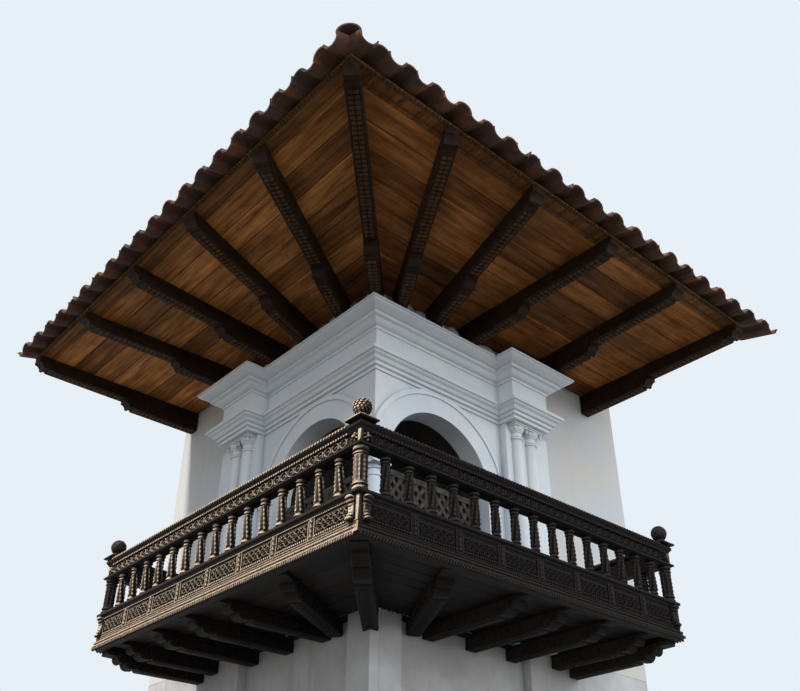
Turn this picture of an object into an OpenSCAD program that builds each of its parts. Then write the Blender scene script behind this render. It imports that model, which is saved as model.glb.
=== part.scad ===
// Street corner of a plastered masonry house: an arcaded upper storey with a carved wooden
// corner balcony, lattice leaves in its arches, and a deep boarded eave under a tiled roof.
// The street corner of the walls is the working origin: the front looks to -Y and the side to +X.

/* [House] */
// Length of the front wall from the street corner to its party wall
house_front = 4400; // [4300:10:5200]
// Height from the ground to the underside of the balcony
balcony_level = 4350; // [3600:10:5000]
// Thickness of the ground storey walls
lower_wall = 500; // [400:10:700]
// Depth of the wall recess between the ground storey pilasters
recess = 120; // [60:5:160]
// Thickness of the arcaded upper walls
upper_wall = 250; // [200:5:320]
// Thickness of the party walls
party_wall = 300; // [200:10:400]

/* [Pilasters] */
// Width of the corner pilaster on the front
corner_front_w = 355; // [280:5:450]
// Width of the corner pilaster on the side
corner_side_w = 410; // [280:5:450]
// Distance of the front end pilaster from the street corner
end_front_at = 2300; // [2100:10:2500]
// Distance of the side end pilaster from the street corner
end_side_at = 2270; // [2100:10:2500]
// Width of the end pilasters
end_w = 620; // [450:10:750]

/* [Arches] */
// Radius of the arched openings
arch_r = 785; // [700:5:800]
// Height of the springing above the balcony's underside
arch_spring = 1714; // [1600:2:1800]
// Distance of the front arch's centre from the street corner
arch_front_at = 1095; // [1040:5:1150]
// Distance of the side arch's centre from the street corner
arch_side_at = 980; // [950:5:1080]
// Width of the moulded ring round each arch
archivolt_w = 290; // [200:5:300]
// Projection of the moulded ring
archivolt_out = 28; // [16:2:40]
// Radius of the corner column's shaft
corner_col_r = 80; // [60:2:95]

/* [Order] */
// Distance of the front column pair from the street corner
order_front_at = 2150; // [2080:10:2200]
// Width of the front column pair
order_front_w = 620; // [560:10:660]
// Distance of the side column pair from the street corner
order_side_at = 1945; // [1900:5:2000]
// Width of the side column pair
order_side_w = 580; // [540:10:640]
// Projection of the entablature over the column pairs
order_out = 320; // [280:5:360]
// Radius of the paired columns
col_r = 112; // [90:2:118]
// Projection of the pilaster behind the columns
back_out = 45; // [25:5:60]
// Underside of the architrave above the balcony's underside
architrave_level = 2776; // [2760:2:2840]
// Top of the cornice above the balcony's underside
cornice_level = 3485; // [3440:5:3530]
// Projection of the cornice
cornice_out = 290; // [200:5:320]
// Projection of the architrave
architrave_out = 130; // [80:5:160]

/* [Balcony] */
// Projection of the balcony from the front wall
balcony_front_out = 1365; // [1200:5:1500]
// Projection of the balcony from the side wall
balcony_side_out = 1465; // [1200:5:1600]
// Length of the balcony along the front wall from the street corner
balcony_front_len = 3190; // [3000:10:3400]
// Length of the balcony along the side wall from the street corner
balcony_side_len = 3125; // [2950:10:3400]
// Thickness of the deck boards
deck_t = 40; // [25:5:60]
// Thickness of the parapet's boards
parapet_t = 70; // [50:5:90]
// Projection of the parapet's mouldings from its face
moulding_out = 45; // [25:5:60]
// Height of the notched mouldings at the foot
foot_h = 140; // [100:5:160]
// Underside of the middle rail above the balcony's underside
mid_level = 335; // [300:5:360]
// Height of the middle rail
mid_h = 58; // [45:1:80]
// Underside of the top rail above the balcony's underside
top_level = 790; // [700:5:900]
// Height of the carved band with its lower moulding
band_h = 150; // [120:5:180]
// Height of the handrail cap
cap_h = 102; // [60:2:120]
// Carved panels on each street side
panels = 8; // [5:1:10]
// Balusters on each street side
balusters = 15; // [9:1:17]
// Balusters on each return to the wall
return_balusters = 4; // [2:1:5]
// Radius of a baluster's shaft
baluster_r = 50; // [36:2:58]
// Width of the corner and end posts
post_w = 140; // [110:5:160]
// Radius of the ball finials
finial_r = 88; // [70:2:100]

/* [Corbels] */
// Straight corbels on each street side
corbels = 4; // [3:1:5]
// Width of a corbel
corbel_w = 150; // [110:5:180]
// Depth of a corbel at the wall
corbel_h = 157; // [120:1:180]
// Distance of the first straight front corbel from the corner
corbel_front_first = 740; // [700:10:820]
// Distance of the first straight side corbel from the corner
corbel_side_first = 860; // [700:10:900]
// Distance of the fanned corbels' wall ends from the corner
fan_at = 470; // [430:5:500]

/* [Eave] */
// Overhang of the eave in front of the front wall
eave_front_out = 2425; // [2000:5:2500]
// Overhang of the eave in front of the side wall
eave_side_out = 2493; // [2000:1:2560]
// How far the front eave stops short of the front wall's end
eave_front_stop = 175; // [60:5:400]
// How far the side eave stops short of the side wall's end
eave_side_stop = 543; // [60:1:760]
// Underside of the rafters above the balcony's underside
rafter_level = 3687; // [3660:1:3800]
// Depth of a rafter
rafter_h = 170; // [120:5:220]
// Width of a rafter
rafter_w = 150; // [110:5:180]
// Depth of the bracket under each rafter
bracket_h = 113; // [60:1:120]
// Length of the brackets in front of the wall
bracket_len = 1150; // [800:10:1400]
// Thickness of the soffit boards
board_t = 25; // [18:1:40]
// Width of the moulded board at the eave's edge
edge_w = 200; // [140:5:240]
// Outer ends of the front rafters, as shares of the eave from its corner
rafter_front_outer = [0.215, 0.412, 0.602, 0.788];
// Outer ends of the side rafters, as shares of the eave from its corner
rafter_side_outer = [0.198, 0.393, 0.592, 0.787];
// Distances of the front rafters' wall ends from the street corner
rafter_front_inner = [550, 1215, 1800, 2730];
// Distances of the side rafters' wall ends from the street corner
rafter_side_inner = [312, 812, 1361, 2706];

/* [Roof] */
// Pitch of the roof in degrees
roof_pitch = 18; // [12:0.5:26]
// Height of the tile layer to the tops of the covers
tile_t = 130; // [115:5:160]
// Thickness of the channel tiles' layer
pan_t = 60; // [40:2:80]
// Distance between two rows of covers
tile_pitch = 336; // [300:2:400]
// Radius of the cover tiles
cover_r = 95; // [85:1:105]
// How far the tiles reach past the eave's edge
tile_out = 170; // [100:5:220]
// Radius of the hip tiles
hip_r = 120; // [90:5:140]

/* [Lattice] */
// Pitch of the main laths
lath_pitch = 95; // [70:5:140]
// Width of the main laths
lath_w = 42; // [25:1:60]
// Thickness of the laths
lath_t = 16; // [10:1:24]
// Width of the leaves' frames
leaf_frame = 70; // [50:5:100]

/* [Hidden] */
$fn = 32;
white = "#e8e8e6";
dark_wood = "#3b2a20";
brown_wood = "#8a5a30";
clay = "#7a4a3a";

// The side wall's length puts the hip on the inner corner of the party walls
house_side = house_front + eave_side_out - eave_front_out;
eave_front_len = house_front - eave_front_stop;
eave_side_len = house_side - eave_side_stop;
deck_top = balcony_level + deck_t;
spring_z = balcony_level + arch_spring;
rafter_z = balcony_level + rafter_level;
bracket_z = rafter_z - bracket_h;
board_z = rafter_z + rafter_h;
roof_z = board_z + board_t;
lower_inner = recess + lower_wall;
band_bottom = balcony_level - corbel_h - 8;
far = 20000;
centre_x = (eave_side_out + tile_out - house_front) / 2;
centre_y = (house_side - eave_front_out - tile_out) / 2;

// Height of the roof's underside on the front slope at a distance behind the front eave's edge
function rise(run) = run * tan(roof_pitch);

// Every sub-part is drawn from the street corner and placed by the middle of the whole
module place() {
    translate([-centre_x, -centre_y, 0]) children();
}

// A block between two opposite corners
module block(a, b) {
    translate(a) cube(b - a);
}

// The space under both roof slopes, raised by a lift and reaching past the eave's edge
module under_slopes(lift, out) {
    front_end = house_side + far / 4;
    side_end = house_front + far / 4;
    z = roof_z + lift;
    intersection() {
        translate([-far / 2, 0, 0]) rotate([90, 0, 90]) linear_extrude(far)
            polygon([[-eave_front_out - out, 0], [front_end, 0],
                [front_end, z + rise(front_end + eave_front_out)], [-eave_front_out - out, z - rise(out)]]);
        translate([0, far / 2, 0]) rotate([90, 0, 0]) linear_extrude(far)
            polygon([[eave_side_out + out, 0], [eave_side_out + out, z - rise(out)],
                [-side_end, z + rise(side_end + eave_side_out)], [-side_end, 0]]);
    }
}

module under_roof() {
    under_slopes(0, 0);
}

// Mitred mouldings: a profile of [outward, height] points is drawn along a plan path
function right_of(d) = [d[1], -d[0]];
function unit(v) = v / norm(v);
function side_normal(path, i) = right_of(unit(path[i + 1] - path[i]));
function mitre(path, i) = i == 0 ? side_normal(path, 0)
    : i == len(path) - 1 ? side_normal(path, i - 1)
    : side_normal(path, i - 1) + side_normal(path, i);

// One straight stretch, cut upright along the mitres at its two corners
module mitred_run(path, profile, i) {
    d = path[i + 1] - path[i];
    reach = max([for (p = profile) p[0]]) + 1;
    back = min([for (p = profile) p[0]]) - 1;
    intersection() {
        translate([path[i][0], path[i][1], 0]) rotate([0, 0, atan2(d[1], d[0])])
            translate([-reach, 0, 0]) rotate([90, 0, 90]) linear_extrude(norm(d) + reach * 2)
                polygon([for (p = profile) [-p[0], p[1]]]);
        linear_extrude(far) polygon([path[i] + back * mitre(path, i), path[i] + reach * mitre(path, i),
            path[i + 1] + reach * mitre(path, i + 1), path[i + 1] + back * mitre(path, i + 1)]);
    }
}

// The stretch of a moulding from one corner of its path to another
module moulding(path, profile, first, last) {
    for (i = [first : last - 1]) mitred_run(path, profile, i);
}

function lifted(profile, z) = [for (p = profile) [p[0], p[1] + z]];

// Walls
module opening_front() {
    x0 = -arch_front_at - arch_r;
    block([x0, -recess, deck_top], [upper_wall, lower_inner, spring_z]);
    translate([-arch_front_at, lower_inner, spring_z]) rotate([90, 0, 0])
        cylinder(h = lower_inner + recess, r = arch_r, $fn = 64);
}

module opening_side() {
    y1 = arch_side_at + arch_r;
    block([-lower_inner, -recess, deck_top], [recess, y1, spring_z]);
    translate([-lower_inner, arch_side_at, spring_z]) rotate([0, 90, 0])
        cylinder(h = lower_inner + recess, r = arch_r, $fn = 64);
}

module lower_front_wall() {
    color(white) place() {
        block([-house_front, recess, 0], [-recess, lower_inner, band_bottom]);
        block([-house_front, 0, band_bottom], [0, lower_inner, deck_top]);
    }
}

module lower_side_wall() {
    color(white) place() {
        block([-lower_inner, lower_inner, 0], [-recess, house_side, band_bottom]);
        block([-lower_inner, lower_inner, band_bottom], [0, house_side, deck_top]);
    }
}

module left_party_wall() {
    color(white) place() intersection() {
        union() {
            block([-house_front, lower_inner, 0],
                [-house_front + party_wall, house_side - party_wall, deck_top]);
            block([-house_front, upper_wall, deck_top],
                [-house_front + party_wall, house_side - party_wall, far]);
        }
        under_roof();
    }
}

module rear_party_wall() {
    color(white) place() intersection() {
        union() {
            block([-house_front, house_side - party_wall, 0], [-lower_inner, house_side, deck_top]);
            block([-house_front, house_side - party_wall, deck_top], [-upper_wall, house_side, far]);
        }
        under_roof();
    }
}

module corner_pilaster() {
    color(white) place() {
        block([-corner_front_w, 0, 0], [0, recess, band_bottom]);
        block([-recess, recess, 0], [0, corner_side_w, band_bottom]);
    }
}

module end_pilasters() {
    color(white) place() {
        block([-end_front_at - end_w, 0, 0], [-end_front_at, recess, band_bottom]);
        block([-recess, end_side_at, 0], [0, end_side_at + end_w, band_bottom]);
    }
}

module upper_floor() {
    color(brown_wood) place()
        block([-house_front + party_wall, lower_inner, band_bottom],
            [-lower_inner, house_side - party_wall, deck_top]);
}

module upper_front_wall() {
    color(white) place() difference() {
        block([-house_front, 0, deck_top], [0, upper_wall, bracket_z]);
        opening_front();
        opening_side();
    }
}

module upper_side_wall() {
    color(white) place() difference() {
        block([-upper_wall, upper_wall, deck_top], [0, house_side, bracket_z]);
        opening_side();
        opening_front();
    }
}

// Turned shaft with a base and a ringed capital
base_h = 70;
ring_h = 26;
neck_h = 54;
echinus_h = 40;
module column(r, z0, z1) {
    capital_h = ring_h + neck_h + echinus_h;
    translate([0, 0, z0]) cylinder(h = base_h, r = r * 1.22);
    translate([0, 0, z0 + base_h]) cylinder(h = z1 - z0 - base_h - capital_h, r = r);
    translate([0, 0, z1 - capital_h]) cylinder(h = ring_h, r = r * 1.12);
    translate([0, 0, z1 - echinus_h - neck_h]) cylinder(h = neck_h, r = r * 0.98);
    translate([0, 0, z1 - echinus_h]) cylinder(h = echinus_h, r = r * 1.2);
}

corner_pier_x = arch_front_at - arch_r;
abacus_h = 90;
module corner_column() {
    color(white) place() {
        translate([-corner_pier_x / 2, upper_wall / 2, 0]) column(corner_col_r, deck_top, spring_z - abacus_h);
        block([-corner_pier_x, 0, spring_z - abacus_h], [0, upper_wall, spring_z]);
    }
}

arch_top = balcony_level + architrave_level;
col_gap = 10;
col_off = back_out + col_r * 1.22 + col_gap;
back_reach = 80;
module front_columns() {
    color(white) place() {
        for (side = [-1, 1])
            translate([-order_front_at - order_front_w / 2 + side * (order_front_w / 2 - col_r * 1.2), -col_off, 0])
                column(col_r, deck_top, arch_top);
        block([-order_front_at - order_front_w - back_reach, -back_out, deck_top], [-order_front_at, 0, arch_top]);
    }
}

module side_columns() {
    color(white) place() {
        for (side = [-1, 1])
            translate([col_off, order_side_at + order_side_w / 2 + side * (order_side_w / 2 - col_r * 1.2), 0])
                column(col_r, deck_top, arch_top);
        block([0, order_side_at, deck_top], [back_out, order_side_at + order_side_w + back_reach, arch_top]);
    }
}

// Moulded ring round an arch, in its own plane
module archivolt(centre_at, limit) {
    intersection() {
        union() {
            linear_extrude(archivolt_out * 0.45) difference() {
                circle(r = arch_r + archivolt_w, $fn = 64);
                circle(r = arch_r, $fn = 64);
            }
            linear_extrude(archivolt_out) difference() {
                circle(r = arch_r + archivolt_w, $fn = 64);
                circle(r = arch_r + archivolt_w - 60, $fn = 64);
            }
        }
        block([-centre_at, 0, 0], [limit - centre_at, arch_r * 2, archivolt_out]);
    }
}

module archivolt_front() {
    color(white) place() translate([-arch_front_at, 0, spring_z]) rotate([90, 0, 0]) mirror([1, 0, 0])
        archivolt(arch_front_at, order_front_at);
}

module archivolt_side() {
    color(white) place() translate([0, arch_side_at, spring_z]) rotate([90, 0, 90])
        archivolt(arch_side_at, order_side_at);
}

// Entablature: architrave, frieze and cornice, broken forward over the column pairs
order_path = [[-order_front_at - order_front_w, 0], [-order_front_at - order_front_w, -order_out],
    [-order_front_at, -order_out], [-order_front_at, 0], [0, 0], [0, order_side_at],
    [order_out, order_side_at], [order_out, order_side_at + order_side_w], [0, order_side_at + order_side_w]];
cornice_h = 215;
architrave_h = 150;
frieze_out = 6;
entablature_h = cornice_level - architrave_level;
cornice_at = entablature_h - cornice_h;
// Steps of the profile: share of the projection, and height
architrave_steps = [[0, 0], [0.25, 0], [0.25, 45], [0.5, 45], [0.5, 85], [0.78, 100], [1, 120], [1, architrave_h]];
cornice_steps = [[0.16, 10], [0.16, 40], [0.36, 62], [0.44, 92], [0.56, 96], [0.56, 131], [0.7, 149], [0.92, 175],
    [0.96, 193], [1, 193], [1, cornice_h]];
architrave = [for (p = architrave_steps) [p[0] * architrave_out, p[1]]];
cornice = [for (p = cornice_steps) [p[0] * cornice_out, cornice_at + p[1]]];
order_profile = concat(architrave, [[frieze_out, architrave_h], [frieze_out, cornice_at]], cornice,
    [[0, entablature_h]]);

// On the straight stretches the wall's own face is the frieze between the architrave and the cornice
module straight_orders(first, last) {
    moulding(order_path, lifted(concat(architrave, [[0, architrave_h]]), arch_top), first, last);
    moulding(order_path, lifted(concat([[0, cornice_at]], cornice, [[0, entablature_h]]), arch_top), first, last);
}

module entablature_front() {
    color(white) place() straight_orders(3, 4);
}

module entablature_side() {
    color(white) place() straight_orders(4, 5);
}

// The core of a break runs into its mouldings, up to the mitre with the straight stretch beside it
break_core = frieze_out / 2;
module entablature_breaks() {
    color(white) place() {
        union() {
            moulding(order_path, lifted(order_profile, arch_top), 0, 3);
            translate([-order_front_at, 0, arch_top]) linear_extrude(entablature_h)
                polygon([[0, 0], [-order_front_w - break_core, 0],
                    [-order_front_w - break_core, -order_out - break_core],
                    [break_core, -order_out - break_core], [break_core, -break_core]]);
        }
        union() {
            moulding(order_path, lifted(order_profile, arch_top), 5, 8);
            translate([0, order_side_at, arch_top]) linear_extrude(entablature_h)
                polygon([[0, 0], [break_core, -break_core], [order_out + break_core, -break_core],
                    [order_out + break_core, order_side_w + break_core], [0, order_side_w + break_core]]);
        }
    }
}

// Eave timbers
function front_outer(i) = [eave_side_out - (eave_side_out + eave_front_len) * rafter_front_outer[i], -eave_front_out];
function front_inner(i) = [-rafter_front_inner[i], 0];
function side_outer(i) = [eave_side_out, -eave_front_out + (eave_front_out + eave_side_len) * rafter_side_outer[i]];
function side_inner(i) = [0, rafter_side_inner[i]];

// A rafter with a carved nose, and under it a bracket with a scrolled end; both run on into the wall
nose = 130;
in_wall = 500;
module rafter_outline(len) {
    difference() {
        square([len + in_wall, rafter_h]);
        circle(r = rafter_h * 0.45);
        translate([nose, 0]) circle(r = rafter_h * 0.12);
    }
    translate([len - bracket_len, -bracket_h]) difference() {
        square([bracket_len + in_wall, bracket_h + 1]);
        circle(r = bracket_h * 0.6);
        translate([bracket_h * 1.1, 0]) circle(r = bracket_h * 0.2);
    }
}

module rafter_run(outer, inner) {
    d = inner - outer;
    translate([outer[0], outer[1], rafter_z]) rotate([0, 0, atan2(d[1], d[0])]) rotate([90, 0, 0])
        translate([0, 0, -rafter_w / 2]) linear_extrude(rafter_w) rafter_outline(norm(d));
}

module all_front_rafters() {
    intersection() {
        union() {
            for (i = [0 : len(rafter_front_outer) - 1]) rafter_run(front_outer(i), front_inner(i));
            rafter_run([-eave_front_len + rafter_w / 2, -eave_front_out], [-eave_front_len + rafter_w / 2, 0]);
        }
        block([-eave_front_len - far / 10, -eave_front_out, 0], [eave_side_out, 0, far]);
    }
}

module all_side_rafters() {
    intersection() {
        union() {
            for (i = [0 : len(rafter_side_outer) - 1]) rafter_run(side_outer(i), side_inner(i));
            rafter_run([eave_side_out, eave_side_len - rafter_w / 2], [0, eave_side_len - rafter_w / 2]);
        }
        block([0, -eave_front_out, 0], [eave_side_out, eave_side_len + far / 10, far]);
    }
}

module whole_hip_rafter() {
    intersection() {
        rafter_run([eave_side_out, -eave_front_out], [0, 0]);
        difference() {
            block([-upper_wall, -eave_front_out, 0], [eave_side_out, upper_wall, far]);
            block([-far, 0, -1], [0, far, far + 1]);
        }
    }
}

module wall_head_front() {
    color(white) place() intersection() {
        block([-house_front, 0, bracket_z], [0, upper_wall, far]);
        under_roof();
    }
}

module wall_head_side() {
    color(white) place() intersection() {
        block([-upper_wall, upper_wall, bracket_z], [0, house_side, far]);
        under_roof();
    }
}

module hip_rafter() {
    color(dark_wood) place() whole_hip_rafter();
}

module rafters_front() {
    color(dark_wood) place() all_front_rafters();
}

module rafters_side() {
    color(dark_wood) place() all_side_rafters();
}

module soffit_front() {
    color(brown_wood) place() translate([0, 0, board_z]) linear_extrude(board_t)
        polygon([[eave_side_out - edge_w, -eave_front_out + edge_w], [0, 0], [-eave_front_len, 0],
            [-eave_front_len, -eave_front_out + edge_w]]);
}

module soffit_side() {
    color(brown_wood) place() translate([0, 0, board_z]) linear_extrude(board_t)
        polygon([[eave_side_out - edge_w, -eave_front_out + edge_w], [eave_side_out - edge_w, eave_side_len],
            [0, eave_side_len], [0, 0]]);
}

eave_path = [[-eave_front_len, -eave_front_out], [eave_side_out, -eave_front_out], [eave_side_out, eave_side_len]];
edge_profile = [[-edge_w, 0], [-edge_w * 0.72, 0], [-edge_w * 0.72, 8], [-edge_w * 0.4, 8], [-edge_w * 0.4, 0],
    [-edge_w * 0.12, 0], [0, 14], [0, board_t], [-edge_w, board_t]];

module eave_edge() {
    color(brown_wood) place() moulding(eave_path, lifted(edge_profile, board_z), 0, 2);
}

verge_t = 40;
module verge_boards() {
    color(dark_wood) place() intersection() {
        union() {
            block([-eave_front_len, -eave_front_out, roof_z], [-eave_front_len + verge_t, 0, far]);
            block([0, eave_side_len - verge_t, roof_z], [eave_side_out, eave_side_len, far]);
        }
        under_roof();
    }
}

// Roof slopes: a layer of channel tiles and rows of covers up the slope, cut to a plan outline
end_reach = 60;
eave_x = eave_side_out + tile_out;
eave_y = -eave_front_out - tile_out;
eave_low = roof_z - rise(tile_out);
slope_run = house_side - eave_y;
hip_angle = atan(rise(1) / sqrt(2));
front_outline = [[eave_x, eave_y], [-eave_front_len - end_reach, eave_y], [-eave_front_len - end_reach, 0],
    [-house_front, 0], [-house_front, house_side]];
side_outline = [[eave_x, eave_y], [-house_front, house_side], [0, house_side],
    [0, eave_side_len + end_reach], [eave_x, eave_side_len + end_reach]];

// The round ridge over the hip, from its low end at the eave's corner
module hip_round() {
    translate([eave_x, eave_y, eave_low + tile_t]) rotate([0, 0, 135]) rotate([0, 90 - hip_angle, 0])
        translate([0, 0, -hip_r]) cylinder(h = slope_run * 2, r = hip_r);
}

// A slope that rises along +Y from the eave, with the eave's corner at its right-hand end
module tile_slope(across) {
    reach = slope_run / cos(roof_pitch) + tile_t;
    rotate([roof_pitch, 0, 0]) {
        translate([-across, -tile_t, 0]) cube([across, reach + tile_t, pan_t * cos(roof_pitch)]);
        difference() {
            for (x = [-tile_pitch * 1.12 : -tile_pitch : -across])
                translate([x, -tile_t, tile_t * cos(roof_pitch) - cover_r]) rotate([-90, 0, 0])
                    cylinder(h = reach + tile_t, r = cover_r);
            translate([-across - tile_pitch, -tile_t * 2, -cover_r * 2])
                cube([across + tile_pitch * 2, reach + tile_t * 4, cover_r * 2]);
        }
    }
}

module roof_front() {
    color(clay) place() difference() {
        intersection() {
            translate([eave_x, eave_y, eave_low]) tile_slope(slope_run);
            linear_extrude(far) polygon(front_outline);
        }
        hip_cut();
    }
}

module roof_side() {
    color(clay) place() difference() {
        intersection() {
            translate([eave_x, eave_y, eave_low]) rotate([0, 0, 90]) mirror([1, 0, 0]) tile_slope(slope_run);
            linear_extrude(far) polygon(side_outline);
        }
        hip_cut();
    }
}

// What the hip's ridge takes away from the covers, and leaves of the channels below it
module hip_cut() {
    difference() {
        hip_round();
        under_slopes(pan_t, tile_out * 2);
    }
}

module hip_tiles() {
    color(clay) place() intersection() {
        hip_cut();
        block([-house_front, eave_y, 0], [eave_x, house_side, far]);
    }
}

// Lattice leaves between the jambs, up to the springing
module lath_field(w, h, turn) {
    reach = w + h;
    intersection() {
        cube([w, h, lath_t]);
        translate([w / 2, h / 2, 0]) rotate([0, 0, turn])
            for (i = [-ceil(reach / lath_pitch / 2) : ceil(reach / lath_pitch / 2)])
                translate([-reach, i * lath_pitch - lath_w / 2, 0]) cube([reach * 2, lath_w, lath_t]);
    }
}

module leaf(w, h, turn) {
    difference() {
        cube([w, h, lath_t * 3]);
        translate([leaf_frame, leaf_frame, -1]) cube([w - leaf_frame * 2, h - leaf_frame * 2, lath_t * 3 + 2]);
    }
    translate([leaf_frame, leaf_frame, lath_t]) lath_field(w - leaf_frame * 2, h - leaf_frame * 2, turn);
    translate([leaf_frame, leaf_frame, lath_t * 1.5]) lath_field(w - leaf_frame * 2, h - leaf_frame * 2, -turn);
}

module leaves(width) {
    h = spring_z - deck_top;
    w = width / 2;
    leaf(w, h, -55);
    translate([w, 0, 0]) leaf(w, h, 55);
}

module lattice_front() {
    color(dark_wood) place() union() {
        translate([-arch_front_at - arch_r, upper_wall, deck_top]) rotate([90, 0, 0]) leaves(arch_r * 2);
        block([-corner_pier_x - leaf_frame / 2, upper_wall - lath_t * 3, deck_top],
            [-upper_wall, upper_wall, spring_z - abacus_h]);
    }
}

module lattice_side() {
    y0 = upper_wall;
    color(dark_wood) place() translate([-upper_wall, y0, deck_top]) rotate([90, 0, 90])
        leaves(arch_side_at + arch_r - y0);
}

// Balcony
face_path = [[-balcony_front_len + moulding_out, 0],
    [-balcony_front_len + moulding_out, -balcony_front_out + moulding_out],
    [balcony_side_out - moulding_out, -balcony_front_out + moulding_out],
    [balcony_side_out - moulding_out, balcony_side_len - moulding_out], [0, balcony_side_len - moulding_out]];
// Steps of the profiles: share of the projection, and share of the height
foot_steps = [[0.3, 0], [1, 0.13], [1, 0.285], [0.6, 0.37], [0.7, 0.6], [0.25, 0.685], [0.35, 0.93], [0, 1]];
foot_profile = concat([[-parapet_t, 0]], [for (p = foot_steps) [p[0] * moulding_out, p[1] * foot_h]],
    [[-parapet_t, foot_h]]);
mid_steps = [[0.3, 0], [0.45, 0.31], [1, 0.59], [1, 1]];
rail_in = -parapet_t - 20;
mid_profile = concat([[rail_in, 0]], [for (p = mid_steps) [p[0] * moulding_out, p[1] * mid_h]], [[rail_in, mid_h]]);
band_steps = [[0.4, 0], [1, 0.08], [1, 0.2], [0.2, 0.28], [0, 0.307], [0, 1]];
cap_steps = [[0.3, 0], [0.6, 0.294], [1, 0.47], [1, 0.745], [0.3, 1]];
cap_in = -parapet_t - 50;
top_profile = concat([[rail_in, 0]], [for (p = band_steps) [p[0] * moulding_out, p[1] * band_h]],
    [for (p = cap_steps) [p[0] * moulding_out, band_h + p[1] * cap_h]],
    [[rail_in, band_h + cap_h], [cap_in, band_h + cap_h * 0.745], [cap_in, band_h + cap_h * 0.49],
        [rail_in, band_h + cap_h * 0.294]]);

module board_run(from, to) {
    board = [[-parapet_t, foot_h], [0, foot_h], [0, mid_level], [-parapet_t, mid_level]];
    moulding(face_path, lifted(board, balcony_level), from, to);
}

// Strips that part the carved panels along one street side
strip_w = 90;
strip_out = 14;
module strips(from, to, count) {
    d = to - from;
    len = norm(d);
    pitch = (len - post_w) / count;
    translate([from[0], from[1], balcony_level + foot_h]) rotate([0, 0, atan2(d[1], d[0])])
        for (i = [0 : count]) translate([post_w / 2 + i * pitch - strip_w / 2, -strip_out, 0])
            cube([strip_w, strip_out, mid_level - foot_h]);
}

module frieze_front() {
    color(dark_wood) place() union() {
        moulding(face_path, lifted(foot_profile, balcony_level), 1, 2);
        board_run(1, 2);
        strips(face_path[1], face_path[2], panels);
    }
}

module frieze_side() {
    color(dark_wood) place() union() {
        moulding(face_path, lifted(foot_profile, balcony_level), 2, 3);
        board_run(2, 3);
        strips(face_path[2], face_path[3], panels);
    }
}

module frieze_returns() {
    color(dark_wood) place() {
        union() {
            moulding(face_path, lifted(foot_profile, balcony_level), 0, 1);
            board_run(0, 1);
        }
        union() {
            moulding(face_path, lifted(foot_profile, balcony_level), 3, 4);
            board_run(3, 4);
        }
    }
}

module mid_rail() {
    color(dark_wood) place() moulding(face_path, lifted(mid_profile, balcony_level + mid_level), 0, 4);
}

module top_rail() {
    color(dark_wood) place() moulding(face_path, lifted(top_profile, balcony_level + top_level), 0, 4);
}

// The parapet's thickness with its mouldings
rim = moulding_out + parapet_t;
module deck() {
    color(dark_wood) place() {
        block([-balcony_front_len + rim, -balcony_front_out + rim, balcony_level],
            [balcony_side_out - rim, 0, deck_top]);
        block([0, 0, balcony_level], [balcony_side_out - rim, balcony_side_len - rim, deck_top]);
    }
}

// Turned baluster between the rails
baluster_h = top_level - mid_level - mid_h;
module baluster() {
    r = baluster_r;
    rotate_extrude($fn = 24) polygon([[0, 0], [r, 0], [r, 24], [r * 0.72, 34], [r * 0.9, 48], [r * 0.72, 62],
        [r * 0.8, 80], [r * 0.94, baluster_h * 0.4], [r * 0.8, baluster_h - 80], [r * 0.72, baluster_h - 62],
        [r * 0.9, baluster_h - 48], [r * 0.72, baluster_h - 34], [r, baluster_h - 24], [r, baluster_h],
        [0, baluster_h]]);
}

rail_line = moulding_out + parapet_t / 2;
baluster_z = balcony_level + mid_level + mid_h;
module baluster_row(from, to, count) {
    d = to - from;
    step = norm(d) / (count + 1);
    for (i = [1 : count])
        translate([from[0], from[1], baluster_z] + concat(unit(d) * i * step, [0])) baluster();
}

post_corner = [balcony_side_out - rail_line, -balcony_front_out + rail_line];
post_front_end = [-balcony_front_len + rail_line, -balcony_front_out + rail_line];
post_side_end = [balcony_side_out - rail_line, balcony_side_len - rail_line];

module balusters_front() {
    color(dark_wood) place() baluster_row(post_front_end, post_corner, balusters);
}

module balusters_side() {
    color(dark_wood) place() baluster_row(post_corner, post_side_end, balusters);
}

module balusters_returns() {
    color(dark_wood) place() {
        baluster_row([post_front_end[0], 0], post_front_end, return_balusters);
        baluster_row([0, post_side_end[1]], post_side_end, return_balusters);
    }
}

// Shaft between the rails and a ball finial on the cap
plate_h = 34;
stalk_h = 30;
module post_parts() {
    r = post_w / 2;
    rail_top = balcony_level + top_level + band_h + cap_h;
    translate([0, 0, baluster_z]) rotate_extrude() polygon([[0, 0], [r, 0], [r, 30], [r * 0.8, 40], [r * 0.95, 54],
        [r * 0.8, 68], [r * 0.8, baluster_h - 68], [r * 0.95, baluster_h - 54], [r * 0.8, baluster_h - 40],
        [r, baluster_h - 30], [r, baluster_h], [0, baluster_h]]);
    translate([-r * 1.25, -r * 1.25, rail_top]) cube([r * 2.5, r * 2.5, plate_h]);
    translate([0, 0, rail_top + plate_h]) cylinder(h = stalk_h, r = finial_r * 0.7);
    translate([0, 0, rail_top + plate_h + stalk_h + finial_r * 0.9]) difference() {
        sphere(r = finial_r);
        translate([-far / 2, -far / 2, -far - finial_r * 0.9]) cube([far, far, far]);
    }
}

module corner_post() {
    color(dark_wood) place() translate([post_corner[0], post_corner[1], 0]) post_parts();
}

module end_posts() {
    color(dark_wood) place() {
        translate([post_front_end[0], post_front_end[1], 0]) post_parts();
        translate([post_side_end[0], post_side_end[1], 0]) post_parts();
    }
}

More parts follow.
